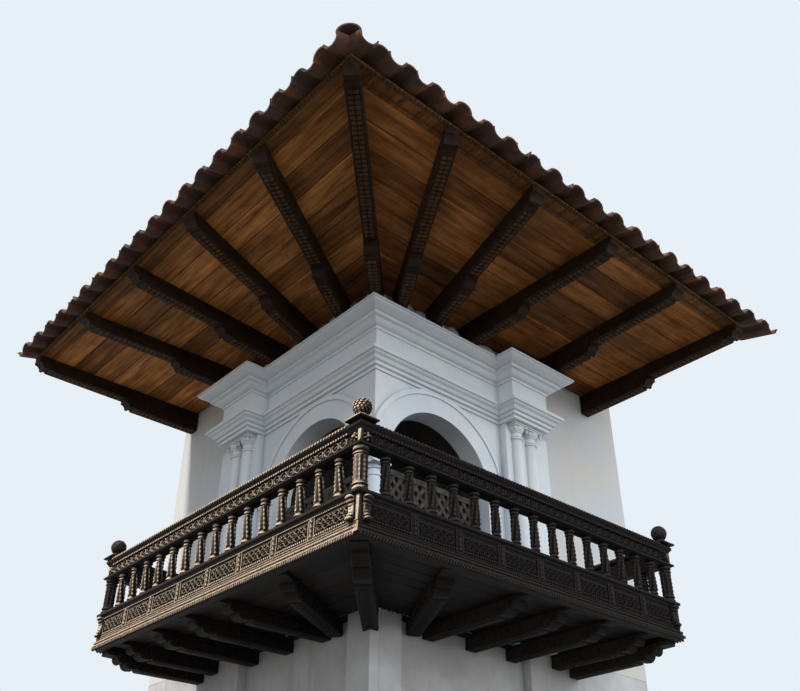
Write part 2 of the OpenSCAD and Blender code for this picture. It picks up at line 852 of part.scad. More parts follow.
// Corbel outline along its length, from the wall to a lobed scroll under the parapet
module corbel_outline(len, h) {
    flat = len * 0.68;
    translate([-80, -h]) square([flat + 80, h]);
    difference() {
        union() {
            translate([flat - 10, -h]) square([h * 0.5, h]);
            translate([flat + h * 0.45, -h * 0.5]) circle(r = h * 0.5);
            translate([flat + h * 1.25, -h * 0.36]) circle(r = h * 0.36);
            translate([flat, -h * 0.3]) square([len - flat - 20, h * 0.3]);
        }
        translate([flat - h, 0]) square([len * 2, h * 2]);
        translate([flat - h * 0.05, -h]) circle(r = h * 0.14);
    }
}

module corbel(from, to, h) {
    d = to - from;
    translate([from[0], from[1], balcony_level]) rotate([0, 0, atan2(d[1], d[0])]) rotate([90, 0, 0])
        translate([0, 0, -corbel_w / 2]) linear_extrude(corbel_w) corbel_outline(norm(d), h);
}

// The last corbel stands close to the end of the balcony and close to its neighbour
corbel_gap = 10;
corbel_last_pitch = 380;
module corbels_front() {
    reach = balcony_front_out - rim;
    last = balcony_front_len - corbel_w / 2 - corbel_gap;
    pitch = (last - corbel_last_pitch - corbel_front_first) / (corbels - 1);
    color(dark_wood) place() intersection() {
        union() {
            for (i = [0 : corbels - 1])
                corbel([-corbel_front_first - i * pitch, 0], [-corbel_front_first - i * pitch, -reach], corbel_h);
            corbel([-last, 0], [-last, -reach], corbel_h);
            corbel([-fan_at, 0], [balcony_side_out * 0.15, -reach], corbel_h);
        }
        block([-far, -far, 0], [far, 0, far]);
    }
}

module corbels_side() {
    reach = balcony_side_out - rim;
    last = balcony_side_len - corbel_w / 2 - corbel_gap;
    pitch = (last - corbel_last_pitch - corbel_side_first) / (corbels - 1);
    color(dark_wood) place() intersection() {
        union() {
            for (i = [0 : corbels - 1])
                corbel([0, corbel_side_first + i * pitch], [reach, corbel_side_first + i * pitch], corbel_h);
            corbel([0, last], [reach, last], corbel_h);
            corbel([0, fan_at], [reach, -balcony_front_out * 0.15], corbel_h);
        }
        block([0, -far, 0], [far, far, far]);
    }
}

module hip_corbel() {
    color(dark_wood) place() difference() {
        corbel([0, 0], [balcony_side_out - rim, -balcony_front_out + rim], corbel_h * 1.5);
        block([-far, 0, 0], [0, far, far]);
    }
}

lower_front_wall();
lower_side_wall();
left_party_wall();
rear_party_wall();
corner_pilaster();
end_pilasters();
upper_floor();
upper_front_wall();
upper_side_wall();
corner_column();
front_columns();
side_columns();
archivolt_front();
archivolt_side();
entablature_front();
entablature_side();
entablature_breaks();
wall_head_front();
wall_head_side();
lattice_front();
lattice_side();
deck();
corbels_front();
corbels_side();
hip_corbel();
frieze_front();
frieze_side();
frieze_returns();
mid_rail();
top_rail();
balusters_front();
balusters_side();
balusters_returns();
corner_post();
end_posts();
hip_rafter();
rafters_front();
rafters_side();
soffit_front();
soffit_side();
eave_edge();
verge_boards();
roof_front();
roof_side();
hip_tiles();
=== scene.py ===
# %% [markdown]
# A carved corner balcony under a tiled eave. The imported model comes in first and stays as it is:
# its walls, rails and rafters carry everything that follows. Distances below are in metres and are
# counted from the street corner of the walls, where the front wall meets the side wall.

# %% Load the frame
import math

import bpy
import numpy as np
from mathutils import Matrix, Vector


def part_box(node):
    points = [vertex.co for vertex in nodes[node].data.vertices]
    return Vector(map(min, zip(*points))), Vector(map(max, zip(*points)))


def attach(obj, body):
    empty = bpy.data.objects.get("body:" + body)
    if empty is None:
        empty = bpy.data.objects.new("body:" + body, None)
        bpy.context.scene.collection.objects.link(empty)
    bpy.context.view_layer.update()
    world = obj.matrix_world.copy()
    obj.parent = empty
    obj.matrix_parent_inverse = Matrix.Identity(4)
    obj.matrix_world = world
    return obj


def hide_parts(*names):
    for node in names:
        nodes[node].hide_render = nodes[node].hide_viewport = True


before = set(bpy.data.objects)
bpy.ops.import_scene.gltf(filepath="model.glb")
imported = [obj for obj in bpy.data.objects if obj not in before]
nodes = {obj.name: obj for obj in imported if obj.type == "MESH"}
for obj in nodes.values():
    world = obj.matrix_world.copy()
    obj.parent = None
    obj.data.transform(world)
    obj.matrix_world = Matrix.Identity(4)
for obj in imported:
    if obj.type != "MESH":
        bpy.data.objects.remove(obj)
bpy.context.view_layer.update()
pilaster_low, pilaster_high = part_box("corner_pilaster")
corner = Vector((pilaster_high.x, pilaster_low.y, 0.0))
dice = np.random.default_rng(7)
print("street corner at", tuple(round(v, 4) for v in corner))

# %% [markdown]
# The camera stands at eye height across the street corner and looks up past the balcony into the
# eave. Its place comes from the vanishing lines of the two facades.

# %% Camera
heading, climb, roll = math.radians(138.664), math.radians(33.358), math.radians(0.286)
bpy.ops.object.camera_add(location=(7.6850, -6.5686, 1.6054))
camera = bpy.context.object
turn = Matrix.Rotation(heading - math.pi / 2, 3, "Z") @ Matrix.Rotation(climb + math.pi / 2, 3, "X")
camera.rotation_euler = (turn @ Matrix.Rotation(roll, 3, "Z")).to_euler()
camera.data.sensor_width = 36.0
camera.data.lens = 41.30
camera.data.clip_end = 200.0
bpy.context.scene.camera = camera

# %% [markdown]
# High sun comes from the front, a wide soft lamp from the side street, and the pale sky is brighter
# over that street: the carved front is lit, and the balcony's other face lies in shade against light
# walls. What the camera sees of sky and floor is chosen apart from the light that they throw, so the
# floor looks pale and the underside still stays dark.

# %% Light, sky and floor
def seen_or_lit(tree, seen, lit):
    """Camera, glossy and transmission rays meet the first shader, and all other rays the second."""
    rays = tree.nodes.new("ShaderNodeLightPath")
    showing = rays.outputs["Is Camera Ray"]
    for kind in ("Is Glossy Ray", "Is Transmission Ray"):
        either = tree.nodes.new("ShaderNodeMath")
        either.operation = "MAXIMUM"
        tree.links.new(showing, either.inputs[0])
        tree.links.new(rays.outputs[kind], either.inputs[1])
        showing = either.outputs[0]
    choice = tree.nodes.new("ShaderNodeMixShader")
    tree.links.new(showing, choice.inputs["Fac"])
    tree.links.new(lit.outputs[0], choice.inputs[1])
    tree.links.new(seen.outputs[0], choice.inputs[2])
    return choice.outputs[0]


scene = bpy.context.scene
scene.view_settings.view_transform = "Standard"
bpy.ops.object.light_add(type="SUN", location=(0.0, -6.0, 12.0))
sun = bpy.context.object
sun.rotation_euler = Vector((-0.14, -0.55, 0.82)).to_track_quat("Z", "Y").to_euler()
sun.data.energy = 4.2
sun.data.angle = math.radians(5.0)
sun.data.color = (1.0, 0.965, 0.91)

bpy.ops.object.light_add(type="SUN", location=(12.0, 0.0, 4.0))
side_street_light = bpy.context.object
side_street_light.rotation_euler = Vector((0.98, 0.06, 0.10)).to_track_quat("Z", "Y").to_euler()
side_street_light.data.energy = 1.05
side_street_light.data.angle = math.radians(80.0)
side_street_light.data.color = (0.96, 0.98, 1.0)

world = bpy.data.worlds.new("pale_sky")
scene.world = world
world.use_nodes = True
sky = world.node_tree
sky.nodes.clear()
seen_sky = sky.nodes.new("ShaderNodeBackground")
seen_sky.inputs["Color"].default_value = (0.80, 0.87, 0.93, 1.0)
lit_sky = sky.nodes.new("ShaderNodeBackground")
lit_sky.inputs["Color"].default_value = (0.86, 0.93, 1.0, 1.0)
direction = sky.nodes.new("ShaderNodeTexCoord")
towards_side_street = sky.nodes.new("ShaderNodeVectorMath")
towards_side_street.operation = "DOT_PRODUCT"
towards_side_street.inputs[1].default_value = (0.94, 0.05, 0.33)
sky_strength = sky.nodes.new("ShaderNodeMapRange")
for label, number in (("From Min", -0.6), ("From Max", 0.9), ("To Min", 0.38), ("To Max", 1.50)):
    sky_strength.inputs[label].default_value = number
sky.links.new(direction.outputs["Generated"], towards_side_street.inputs[0])
sky.links.new(towards_side_street.outputs["Value"], sky_strength.inputs["Value"])
sky.links.new(sky_strength.outputs["Result"], lit_sky.inputs["Strength"])
sky_out = sky.nodes.new("ShaderNodeOutputWorld")
sky.links.new(seen_or_lit(sky, seen_sky, lit_sky), sky_out.inputs["Surface"])

bpy.ops.mesh.primitive_plane_add(size=120.0, location=(0.0, 0.0, -0.002))
floor = bpy.context.object
floor.name = "floor"
floor_finish = bpy.data.materials.new("pale_floor")
floor_finish.use_nodes = True
paving = floor_finish.node_tree
paving.nodes.clear()
seen_floor = paving.nodes.new("ShaderNodeBsdfDiffuse")
seen_floor.inputs["Color"].default_value = (0.42, 0.415, 0.40, 1)
lit_floor = paving.nodes.new("ShaderNodeBsdfDiffuse")
lit_floor.inputs["Color"].default_value = (0.13, 0.125, 0.12, 1)
floor_out = paving.nodes.new("ShaderNodeOutputMaterial")
paving.links.new(seen_or_lit(paving, seen_floor, lit_floor), floor_out.inputs["Surface"])
floor.data.materials.append(floor_finish)

# %% [markdown]
# Finishes are built from a few shared node groups. Each group only measures something, such as grain
# or wear, and puts out masks and heights; the colours are chosen in each material.

# %% Node helpers
def new_group(name, inputs, outputs):
    """An empty node group with its sockets, and its two end nodes."""
    tree = bpy.data.node_groups.new(name, "ShaderNodeTree")
    for label, kind, value in inputs:
        socket = tree.interface.new_socket(name=label, in_out="INPUT", socket_type=kind)
        if value is not None:
            socket.default_value = value
    for label, kind in outputs:
        tree.interface.new_socket(name=label, in_out="OUTPUT", socket_type=kind)
    return tree, tree.nodes.new("NodeGroupInput"), tree.nodes.new("NodeGroupOutput")


def node(tree, kind, **values):
    """Adds a node and sets its properties, or else its sockets, by name."""
    made = tree.nodes.new(kind)
    for key, value in values.items():
        if hasattr(made, key):
            setattr(made, key, value)
        else:
            made.inputs[key.replace("_", " ")].default_value = value
    return made


def noise(tree, vector, scale, detail=4.0, rough=0.6):
    made = node(tree, "ShaderNodeTexNoise")
    made.inputs["Scale"].default_value = scale
    made.inputs["Detail"].default_value = detail
    made.inputs["Roughness"].default_value = rough
    tree.links.new(vector, made.inputs["Vector"])
    return made.outputs["Fac"]


def remap(tree, value, low, high, to_low=0.0, to_high=1.0):
    """Spreads the values from low to high over another range, and holds what lies beyond."""
    made = node(tree, "ShaderNodeMapRange")
    tree.links.new(value, made.inputs["Value"])
    for label, number in (("From Min", low), ("From Max", high), ("To Min", to_low), ("To Max", to_high)):
        made.inputs[label].default_value = number
    return made.outputs["Result"]


def math_node(tree, operation, a, b):
    made = node(tree, "ShaderNodeMath", operation=operation)
    for slot, value in ((0, a), (1, b)):
        if isinstance(value, (int, float)):
            made.inputs[slot].default_value = value
        else:
            tree.links.new(value, made.inputs[slot])
    return made.outputs[0]


def mix_colour(tree, factor, first, second, blend="MIX"):
    made = node(tree, "ShaderNodeMix", data_type="RGBA", blend_type=blend)
    for slot, value in ((0, factor), (6, first), (7, second)):
        if isinstance(value, (int, float)):
            made.inputs[slot].default_value = value
        elif isinstance(value, tuple):
            made.inputs[slot].default_value = (*value, 1.0)
        else:
            tree.links.new(value, made.inputs[slot])
    return made.outputs[2]


def new_material(name, rough, shine=0.3):
    """A material with its shader's roughness and gloss set for the whole surface."""
    made = bpy.data.materials.new(name)
    made.use_nodes = True
    shader = made.node_tree.nodes["Principled BSDF"]
    shader.inputs["Roughness"].default_value = rough
    shader.inputs["Specular IOR Level"].default_value = shine
    return made, made.node_tree, shader


def add_bump(tree, shader, height, distance, strength=1.0):
    bump = node(tree, "ShaderNodeBump")
    bump.inputs["Distance"].default_value = distance
    bump.inputs["Strength"].default_value = strength
    tree.links.new(height, bump.inputs["Height"])
    tree.links.new(bump.outputs["Normal"], shader.inputs["Normal"])


def placed(tree, scale=(1.0, 1.0, 1.0)):
    """Object coordinates, stretched along the three axes."""
    where = node(tree, "ShaderNodeTexCoord")
    mapping = node(tree, "ShaderNodeMapping")
    mapping.inputs["Scale"].default_value = scale
    tree.links.new(where.outputs["Object"], mapping.inputs["Vector"])
    return mapping.outputs["Vector"]


# %% [markdown]
# Wood grain is noise drawn out along the board: its stretched noise gives dark and light streaks,
# and a finer one gives the pores. The carving's masks are read from the shape itself: what a rounded
# copy of the surface would have turned is an edge, where the wood is rubbed; what little light reaches
# is a hollow, marked for painted shade; faces turned to the sun are marked for painted sunlight, and
# faces turned down for painted shade. Carved pieces also carry an attribute, sunk, that says how deep
# each point was cut.

# %% Shared masks
grain_group, grain_in, grain_out = new_group(
    "wood_grain",
    [("Vector", "NodeSocketVector", None), ("Streak Scale", "NodeSocketFloat", 3.0)],
    [("Streaks", "NodeSocketFloat"), ("Pores", "NodeSocketFloat")],
)
for label, factor, detail in (("Streaks", 1.0, 5.0), ("Pores", 9.0, 3.0)):
    streak = node(grain_group, "ShaderNodeTexNoise")
    streak.inputs["Detail"].default_value = detail
    streak.inputs["Roughness"].default_value = 0.65
    streak.inputs["Distortion"].default_value = 0.35
    size = math_node(grain_group, "MULTIPLY", grain_in.outputs["Streak Scale"], factor)
    grain_group.links.new(grain_in.outputs["Vector"], streak.inputs["Vector"])
    grain_group.links.new(size, streak.inputs["Scale"])
    grain_group.links.new(streak.outputs["Fac"], grain_out.inputs[label])

wear_and_shade_group, wear_and_shade_in, wear_and_shade_out = new_group(
    "carving_wear_and_shade",
    [("Reach", "NodeSocketFloat", 0.03)],
    [("Hollow", "NodeSocketFloat"), ("Edge", "NodeSocketFloat"), ("Sunward", "NodeSocketFloat"),
     ("Downward", "NodeSocketFloat")],
)
# Painted shade: ambient occlusion marks the hollows that are darkened.
hollow_shade_ao = node(wear_and_shade_group, "ShaderNodeAmbientOcclusion", samples=6)
wear_and_shade_group.links.new(wear_and_shade_in.outputs["Reach"], hollow_shade_ao.inputs["Distance"])
hollow = remap(wear_and_shade_group, hollow_shade_ao.outputs["AO"], 0.52, 0.94, 1.0, 0.0)
rounded = node(wear_and_shade_group, "ShaderNodeBevel", samples=4)
rounded.inputs["Radius"].default_value = 0.006
shape = node(wear_and_shade_group, "ShaderNodeNewGeometry")
facing = node(wear_and_shade_group, "ShaderNodeVectorMath", operation="DOT_PRODUCT")
wear_and_shade_group.links.new(rounded.outputs["Normal"], facing.inputs[0])
wear_and_shade_group.links.new(shape.outputs["Normal"], facing.inputs[1])
edge = remap(wear_and_shade_group, facing.outputs["Value"], 0.995, 0.88)
# Painted sunlight: faces turned towards the sun are marked for the lit colour.
turned = node(wear_and_shade_group, "ShaderNodeVectorMath", operation="DOT_PRODUCT")
turned.inputs[1].default_value = (-0.15, -0.85, 0.50)
wear_and_shade_group.links.new(shape.outputs["Normal"], turned.inputs[0])
# Painted shade: faces turned downwards are marked for a darker colour.
upright = node(wear_and_shade_group, "ShaderNodeSeparateXYZ")
wear_and_shade_group.links.new(shape.outputs["Normal"], upright.inputs[0])
wear_and_shade_group.links.new(remap(wear_and_shade_group, turned.outputs["Value"], 0.10, 0.80), wear_and_shade_out.inputs["Sunward"])
wear_and_shade_group.links.new(remap(wear_and_shade_group, upright.outputs["Z"], -0.2, -0.9), wear_and_shade_out.inputs["Downward"])
wear_and_shade_group.links.new(hollow, wear_and_shade_out.inputs["Hollow"])
wear_and_shade_group.links.new(edge, wear_and_shade_out.inputs["Edge"])


def use_group(tree, group, **values):
    made = node(tree, "ShaderNodeGroup")
    made.node_tree = group
    for key, value in values.items():
        socket = made.inputs[key.replace("_", " ")]
        if isinstance(value, (int, float)):
            socket.default_value = value
        else:
            tree.links.new(value, socket)
    return made


# %% [markdown]
# Old timber: the carved balcony has painted shade, near black, in its hollows and painted sunlight, tan, on
# what stands proud towards the sun; its front is a sunlit copy and its side and returns a shaded copy.
# Rafters are a plainer dark brown, and the eave's boards a red-brown that differs board by board.

# %% Wood finishes
# Painted shade: near black for the carving's hollows and sunk ground.
hollow_shade_black = (0.004, 0.003, 0.003)
fine_grain = (9.0, 9.0, 9.0)


def carved_wood(name, sunlit_proud, shaded_proud):
    """Painted shade, near black, in its hollows and sunk ground; painted sunlight where it stands proud
    towards the sun; painted shade on its underside.
    """
    made, tree, shader = new_material(name, 0.66, 0.12)
    grain = use_group(tree, grain_group, Vector=placed(tree, fine_grain), Streak_Scale=2.0)
    wear_and_shade = use_group(tree, wear_and_shade_group, Reach=0.035)
    sunk = node(tree, "ShaderNodeAttribute", attribute_name="sunk")
    # Painted shade: the deeper a point is sunk, and the deeper in a hollow, the nearer it comes to near
    # black.
    raised = math_node(tree, "SUBTRACT", 1.0, math_node(tree, "MULTIPLY", sunk.outputs["Fac"], 0.97))
    stand = math_node(tree, "MULTIPLY", raised, math_node(tree, "SUBTRACT", 1.0, wear_and_shade.outputs["Hollow"]))
    patch = remap(tree, grain.outputs["Streaks"], 0.3, 0.7, 0.5, 1.0)
    proud = math_node(tree, "MULTIPLY", stand, patch)
    rubbed = math_node(tree, "MULTIPLY", wear_and_shade.outputs["Edge"], stand)
    # Painted sunlight and shade: sun-facing faces take the lit colour, the others the shaded one.
    proud_light_shade = mix_colour(tree, wear_and_shade.outputs["Sunward"], shaded_proud, sunlit_proud)
    # Painted shade: downward faces are darkened further.
    proud_light_shade = mix_colour(tree, wear_and_shade.outputs["Downward"], proud_light_shade, tuple(0.3 * part for part in shaded_proud))
    # Painted shade: sunk ground and hollows take the near black; proud parts and rubbed edges keep the lit
    # or shaded colour.
    colour = mix_colour(tree, math_node(tree, "MAXIMUM", proud, rubbed), hollow_shade_black, proud_light_shade)
    tree.links.new(colour, shader.inputs["Base Color"])
    add_bump(tree, shader, grain.outputs["Pores"], 0.002, 0.6)
    return made


def plain_wood(name, dark, light, stretch):
    """Streaked along its grain; the attribute tone sets one board off from the next."""
    made, tree, shader = new_material(name, 0.62, 0.12)
    grain = use_group(tree, grain_group, Vector=placed(tree, stretch), Streak_Scale=2.2)
    tone = node(tree, "ShaderNodeAttribute", attribute_name="tone")
    streak = remap(tree, grain.outputs["Streaks"], 0.28, 0.72)
    base = mix_colour(tree, streak, dark, light)
    shade = remap(tree, tone.outputs["Fac"], 0.0, 1.0, 0.42, 1.30)
    stain = remap(tree, noise(tree, placed(tree), 1.7, 3.0), 0.35, 0.62, 0.62, 1.0)
    value = math_node(tree, "MULTIPLY", shade, stain)
    grey = node(tree, "ShaderNodeCombineColor")
    for channel in ("Red", "Green", "Blue"):
        tree.links.new(value, grey.inputs[channel])
    tree.links.new(mix_colour(tree, 1.0, base, grey.outputs[0], "MULTIPLY"), shader.inputs["Base Color"])
    add_bump(tree, shader, grain.outputs["Pores"], 0.0015, 0.5)
    return made


# Painted light: one carved finish in a sunlit copy for the front and the corner, and a shaded copy for the
# side street, the returns and the end posts.
sunlit_carving = carved_wood("sunlit_carved_wood", (0.82, 0.62, 0.44), (0.036, 0.025, 0.020))
shaded_carving = carved_wood("shaded_carved_wood", (0.070, 0.052, 0.042), (0.034, 0.026, 0.023))
# Painted shade: rails and corbels are near black, partly their own dark timber and partly painted shade of
# the balcony's underside.
rail_wood = carved_wood("dark_rail_wood", (0.040, 0.028, 0.021), (0.012, 0.009, 0.008))
lattice_wood = plain_wood("lattice_wood", (0.045, 0.035, 0.028), (0.34, 0.29, 0.24), (6.0, 6.0, 6.0))
rafter_wood = plain_wood("rafter_wood", (0.030, 0.016, 0.010), (0.085, 0.042, 0.024), (5.0, 5.0, 5.0))
strip_wood = plain_wood("rafter_strip_wood", (0.070, 0.034, 0.017), (0.34, 0.175, 0.080), (5.0, 5.0, 5.0))
# Painted light: the front soffit's boards are coloured lighter than the side's, for the bounce light from
# the sunlit street.
boards_along_x = plain_wood("boards_along_front", (0.12, 0.034, 0.010), (0.84, 0.36, 0.105),
                            (0.55, 7.0, 7.0))
boards_along_y = plain_wood("boards_along_side", (0.11, 0.030, 0.009), (0.60, 0.235, 0.062),
                            (7.0, 0.55, 7.0))
# Painted shade: the deck's boards are near black, for the shade under the balcony.
deck_wood = plain_wood("deck_boards", (0.004, 0.003, 0.003), (0.010, 0.007, 0.006), (2.0, 2.0, 2.0))

# %% [markdown]
# Limewashed plaster: soft blotches, rain streaks drawn down the wall, fine speckles and painted shade
# in its creases. It is cooler over the arcade, a blue-white that is partly bluish limewash and partly
# painted blue shade of the sky, and warmer past the column pairs; below the balcony it is painted
# darker for the balcony's shade. The clay of the tiles is red-brown, blackened by age and spotted with
# pale lichen where the tile faces the sky.

# %% Plaster and clay finishes
def plaster(name, cool, warm, streaks, past_order):
    """Soft blotches, a little rain streaking, painted shade in the creases, and a warmer tone past the
    columns.
    """
    made, tree, shader = new_material(name, 0.9)
    spot = placed(tree)
    blotch = remap(tree, noise(tree, spot, 1.1, 5.0), 0.36, 0.66)
    base = mix_colour(tree, blotch, cool, warm)
    where = node(tree, "ShaderNodeSeparateXYZ")
    tree.links.new(spot, where.inputs[0])
    beyond = math_node(tree, "MAXIMUM", remap(tree, where.outputs["Y"], corner.y + 2.80, corner.y + 2.86),
                       remap(tree, where.outputs["X"], corner.x - 3.00, corner.x - 3.06))
    cream = mix_colour(tree, blotch, (0.60, 0.625, 0.65), (0.66, 0.62, 0.55))
    base = mix_colour(tree, math_node(tree, "MULTIPLY", beyond, past_order), base, cream)
    run = remap(tree, noise(tree, placed(tree, (4.0, 4.0, 0.4)), 1.5, 4.0), 0.60, 0.85, 0.0, streaks)
    base = mix_colour(tree, run, base, (0.38, 0.33, 0.28))
    speck = remap(tree, noise(tree, spot, 34.0, 2.0), 0.72, 0.76, 0.0, 0.5)
    base = mix_colour(tree, speck, base, (0.22, 0.19, 0.17))
    # Painted shade: ambient occlusion darkens creases and corners with a cool grey.
    crease_shade_ao = node(tree, "ShaderNodeAmbientOcclusion", samples=6)
    crease_shade_ao.inputs["Distance"].default_value = 0.10
    shade = remap(tree, crease_shade_ao.outputs["AO"], 0.45, 0.95, 0.50, 0.0)
    base = mix_colour(tree, shade, base, (0.30, 0.33, 0.38))
    tree.links.new(base, shader.inputs["Base Color"])
    rough = math_node(tree, "ADD", noise(tree, spot, 9.0, 6.0), math_node(tree, "MULTIPLY", blotch, 0.3))
    add_bump(tree, shader, rough, 0.005, 0.4)
    return made


# Painted shade: the cool blue-white is partly a bluish limewash and partly the sky's blue shade.
wall_plaster = plaster("wall_plaster", (0.68, 0.735, 0.80), (0.84, 0.84, 0.82), 0.35, 0.9)
# Painted shade: the walls below the balcony get a darker grey for the balcony's shade, with heavier rain
# streaks.
lower_plaster = plaster("lower_wall_plaster", (0.46, 0.44, 0.435), (0.66, 0.655, 0.64), 0.95, 0.0)
# Painted shade: the mouldings' cool blue-white is partly bluish limewash and partly the sky's blue shade.
trim_plaster = plaster("moulded_plaster", (0.72, 0.775, 0.835), (0.85, 0.86, 0.85), 0.12, 0.0)

clay, clay_tree, clay_shader = new_material("weathered_clay", 0.85)
clay_spot = placed(clay_tree)
clay_tone = node(clay_tree, "ShaderNodeAttribute", attribute_name="tone")
clay_mix = remap(clay_tree, noise(clay_tree, clay_spot, 5.0, 5.0), 0.36, 0.66)
clay_base = mix_colour(clay_tree, clay_mix, (0.052, 0.030, 0.022), (0.20, 0.082, 0.046))
clay_base = mix_colour(clay_tree, clay_tone.outputs["Fac"], clay_base, (0.085, 0.050, 0.038))
clay_up = node(clay_tree, "ShaderNodeNewGeometry")
clay_parts = node(clay_tree, "ShaderNodeSeparateXYZ")
clay_tree.links.new(clay_up.outputs["Normal"], clay_parts.inputs[0])
lichen = remap(clay_tree, noise(clay_tree, clay_spot, 16.0, 6.0, 0.75), 0.54, 0.60)
lichen = math_node(clay_tree, "MULTIPLY", lichen, remap(clay_tree, clay_parts.outputs["Z"], 0.2, 0.8))
lichen = math_node(clay_tree, "MULTIPLY", lichen, 0.75)
clay_base = mix_colour(clay_tree, lichen, clay_base, (0.36, 0.34, 0.27))
clay_tree.links.new(clay_base, clay_shader.inputs["Base Color"])
add_bump(clay_tree, clay_shader, noise(clay_tree, clay_spot, 28.0, 5.0), 0.006, 0.7)

# %% [markdown]
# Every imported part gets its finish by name. Parts that are replaced further down are hidden later.

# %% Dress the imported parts
finishes = {
    wall_plaster: ["lower_front_wall", "lower_side_wall", "left_party_wall", "rear_party_wall",
                   "corner_pilaster", "end_pilasters", "upper_front_wall", "upper_side_wall",
                   "wall_head_front", "wall_head_side"],
    trim_plaster: ["corner_column", "front_columns", "side_columns", "archivolt_front", "archivolt_side",
                   "entablature_front", "entablature_side", "entablature_breaks"],
    sunlit_carving: ["frieze_front", "balusters_front", "corner_post"],
    shaded_carving: ["frieze_side", "frieze_returns", "balusters_side", "balusters_returns", "end_posts"],
    rail_wood: ["corbels_front", "corbels_side", "hip_corbel", "mid_rail", "top_rail"],
    lattice_wood: ["lattice_front", "lattice_side"],
    rafter_wood: ["hip_rafter", "rafters_front", "rafters_side", "verge_boards"],
    deck_wood: ["deck"],
    boards_along_x: ["soffit_front", "eave_edge", "upper_floor"],
    boards_along_y: ["soffit_side"],
    clay: ["roof_front", "roof_side", "hip_tiles"],
}
for finish, names in finishes.items():
    for name in names:
        part = nodes[name]
        part.data.materials.clear()
        part.data.materials.append(finish)
print("dressed", sum(len(names) for names in finishes.values()), "of", len(nodes), "packed parts")

# %% [markdown]
# A few helpers that stand for a modeller's hands: clear the selection, pick what is to be worked on,
# apply a modifier, lay copies where they belong and join them into one piece.

# %% Modelling helpers
def clear_selection():
    bpy.ops.object.select_all(action="DESELECT")


def work_on(piece):
    clear_selection()
    piece.select_set(True)
    bpy.context.view_layer.objects.active = piece


def apply_transforms(piece):
    work_on(piece)
    bpy.ops.object.transform_apply(location=True, rotation=True, scale=True)


def modify(piece, kind, **values):
    work_on(piece)
    modifier = piece.modifiers.new(kind.lower(), kind)
    for key, value in values.items():
        setattr(modifier, key, value)
    bpy.ops.object.modifier_apply(modifier=modifier.name)


def repeat_along(piece, offset, count):
    """Repeats a piece by an offset between one copy and the next."""
    modify(piece, "ARRAY", use_relative_offset=False, use_constant_offset=True,
           constant_offset_displace=offset, count=count)


def face_outwards(piece):
    """Makes every face of a piece look out of it."""
    work_on(piece)
    bpy.ops.object.mode_set(mode="EDIT")
    bpy.ops.mesh.select_all(action="SELECT")
    bpy.ops.mesh.normals_make_consistent(inside=False)
    bpy.ops.object.mode_set(mode="OBJECT")


def join(pieces, name):
    work_on(pieces[0])
    for piece in pieces[1:]:
        piece.select_set(True)
    if len(pieces) > 1:
        bpy.ops.object.join()
    joined = bpy.context.view_layer.objects.active
    joined.name = name
    return joined


def lay_copies(template, matrices, name):
    """Lays one copy of a template at each place, joins them, and takes the template away."""
    made = []
    for matrix in matrices:
        twin = template.copy()
        twin.data = template.data.copy()
        twin.data.transform(matrix)
        bpy.context.collection.objects.link(twin)
        made.append(twin)
    bpy.data.objects.remove(template)
    return join(made, name)


def hand_over(piece, finish, slot, *stands_for, smooth=None):
    """Moves a piece from the street corner's count into the frame, and gives it its finish and place."""
    work_on(piece)
    if smooth is not None:
        bpy.ops.object.shade_smooth_by_angle(angle=math.radians(smooth))
    piece.data.transform(Matrix.Translation(corner))
    piece.data.materials.clear()
    piece.data.materials.append(finish)
    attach(piece, "root")
    if stands_for:
        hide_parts(*stands_for)
    piece.data.calc_loop_triangles()
    print(piece.name, len(piece.data.loop_triangles), "triangles")
    return piece


def block(low, high, bevel=0.0, name="block"):
    """A cube drawn to two opposite corners, with its edges broken."""
    low, high = Vector(low), Vector(high)
    bpy.ops.mesh.primitive_cube_add(size=1.0, location=(low + high) / 2)
    piece = bpy.context.object
    piece.name = name
    piece.scale = high - low
    apply_transforms(piece)
    if bevel:
        modify(piece, "BEVEL", width=bevel, segments=1, limit_method="ANGLE")
    return piece


def scaled_ball(size, location, segments, rings, turn=(0.0, 0.0, 0.0)):
    """A ball drawn out to half its length, width and height."""
    bpy.ops.mesh.primitive_uv_sphere_add(segments=segments, ring_count=rings, radius=1.0, location=location,
                                         rotation=turn, scale=size)
    ball = bpy.context.object
    apply_transforms(ball)
    return ball


def outline_solid(name, points, thickness, bevel=0.0):
    """A filled circle whose vertices are moved to an outline in X and Z, then drawn out along Y."""
    bpy.ops.mesh.primitive_circle_add(vertices=len(points), radius=1.0, fill_type="NGON")
    piece = bpy.context.object
    piece.name = name
    for vertex, point in zip(piece.data.vertices, points):
        vertex.co = (point[0], -thickness / 2, point[1])
    bpy.ops.object.mode_set(mode="EDIT")
    bpy.ops.mesh.select_all(action="SELECT")
    bpy.ops.mesh.extrude_region_move(TRANSFORM_OT_translate={"value": (0.0, thickness, 0.0)})
    bpy.ops.mesh.select_all(action="SELECT")
    bpy.ops.mesh.normals_make_consistent(inside=False)
    bpy.ops.object.mode_set(mode="OBJECT")
    if bevel:
        modify(piece, "BEVEL", width=bevel, segments=1, limit_method="ANGLE", angle_limit=math.radians(50))
    return piece


def lay_loops(piece, cuts):
    """Divides only the edges that run from end to end, so that loops lie round the piece."""
    bpy.context.tool_settings.mesh_select_mode = (False, True, False)
    for part in (*piece.data.vertices, *piece.data.polygons):
        part.select = False
    for edge in piece.data.edges:
        ends = [piece.data.vertices[index].co.z for index in edge.vertices]
        edge.select = abs(ends[0] - ends[1]) > 1.0
    bpy.ops.object.mode_set(mode="EDIT")
    bpy.ops.mesh.subdivide(number_cuts=cuts)
    bpy.ops.mesh.select_mode(type="VERT")
    bpy.ops.object.mode_set(mode="OBJECT")


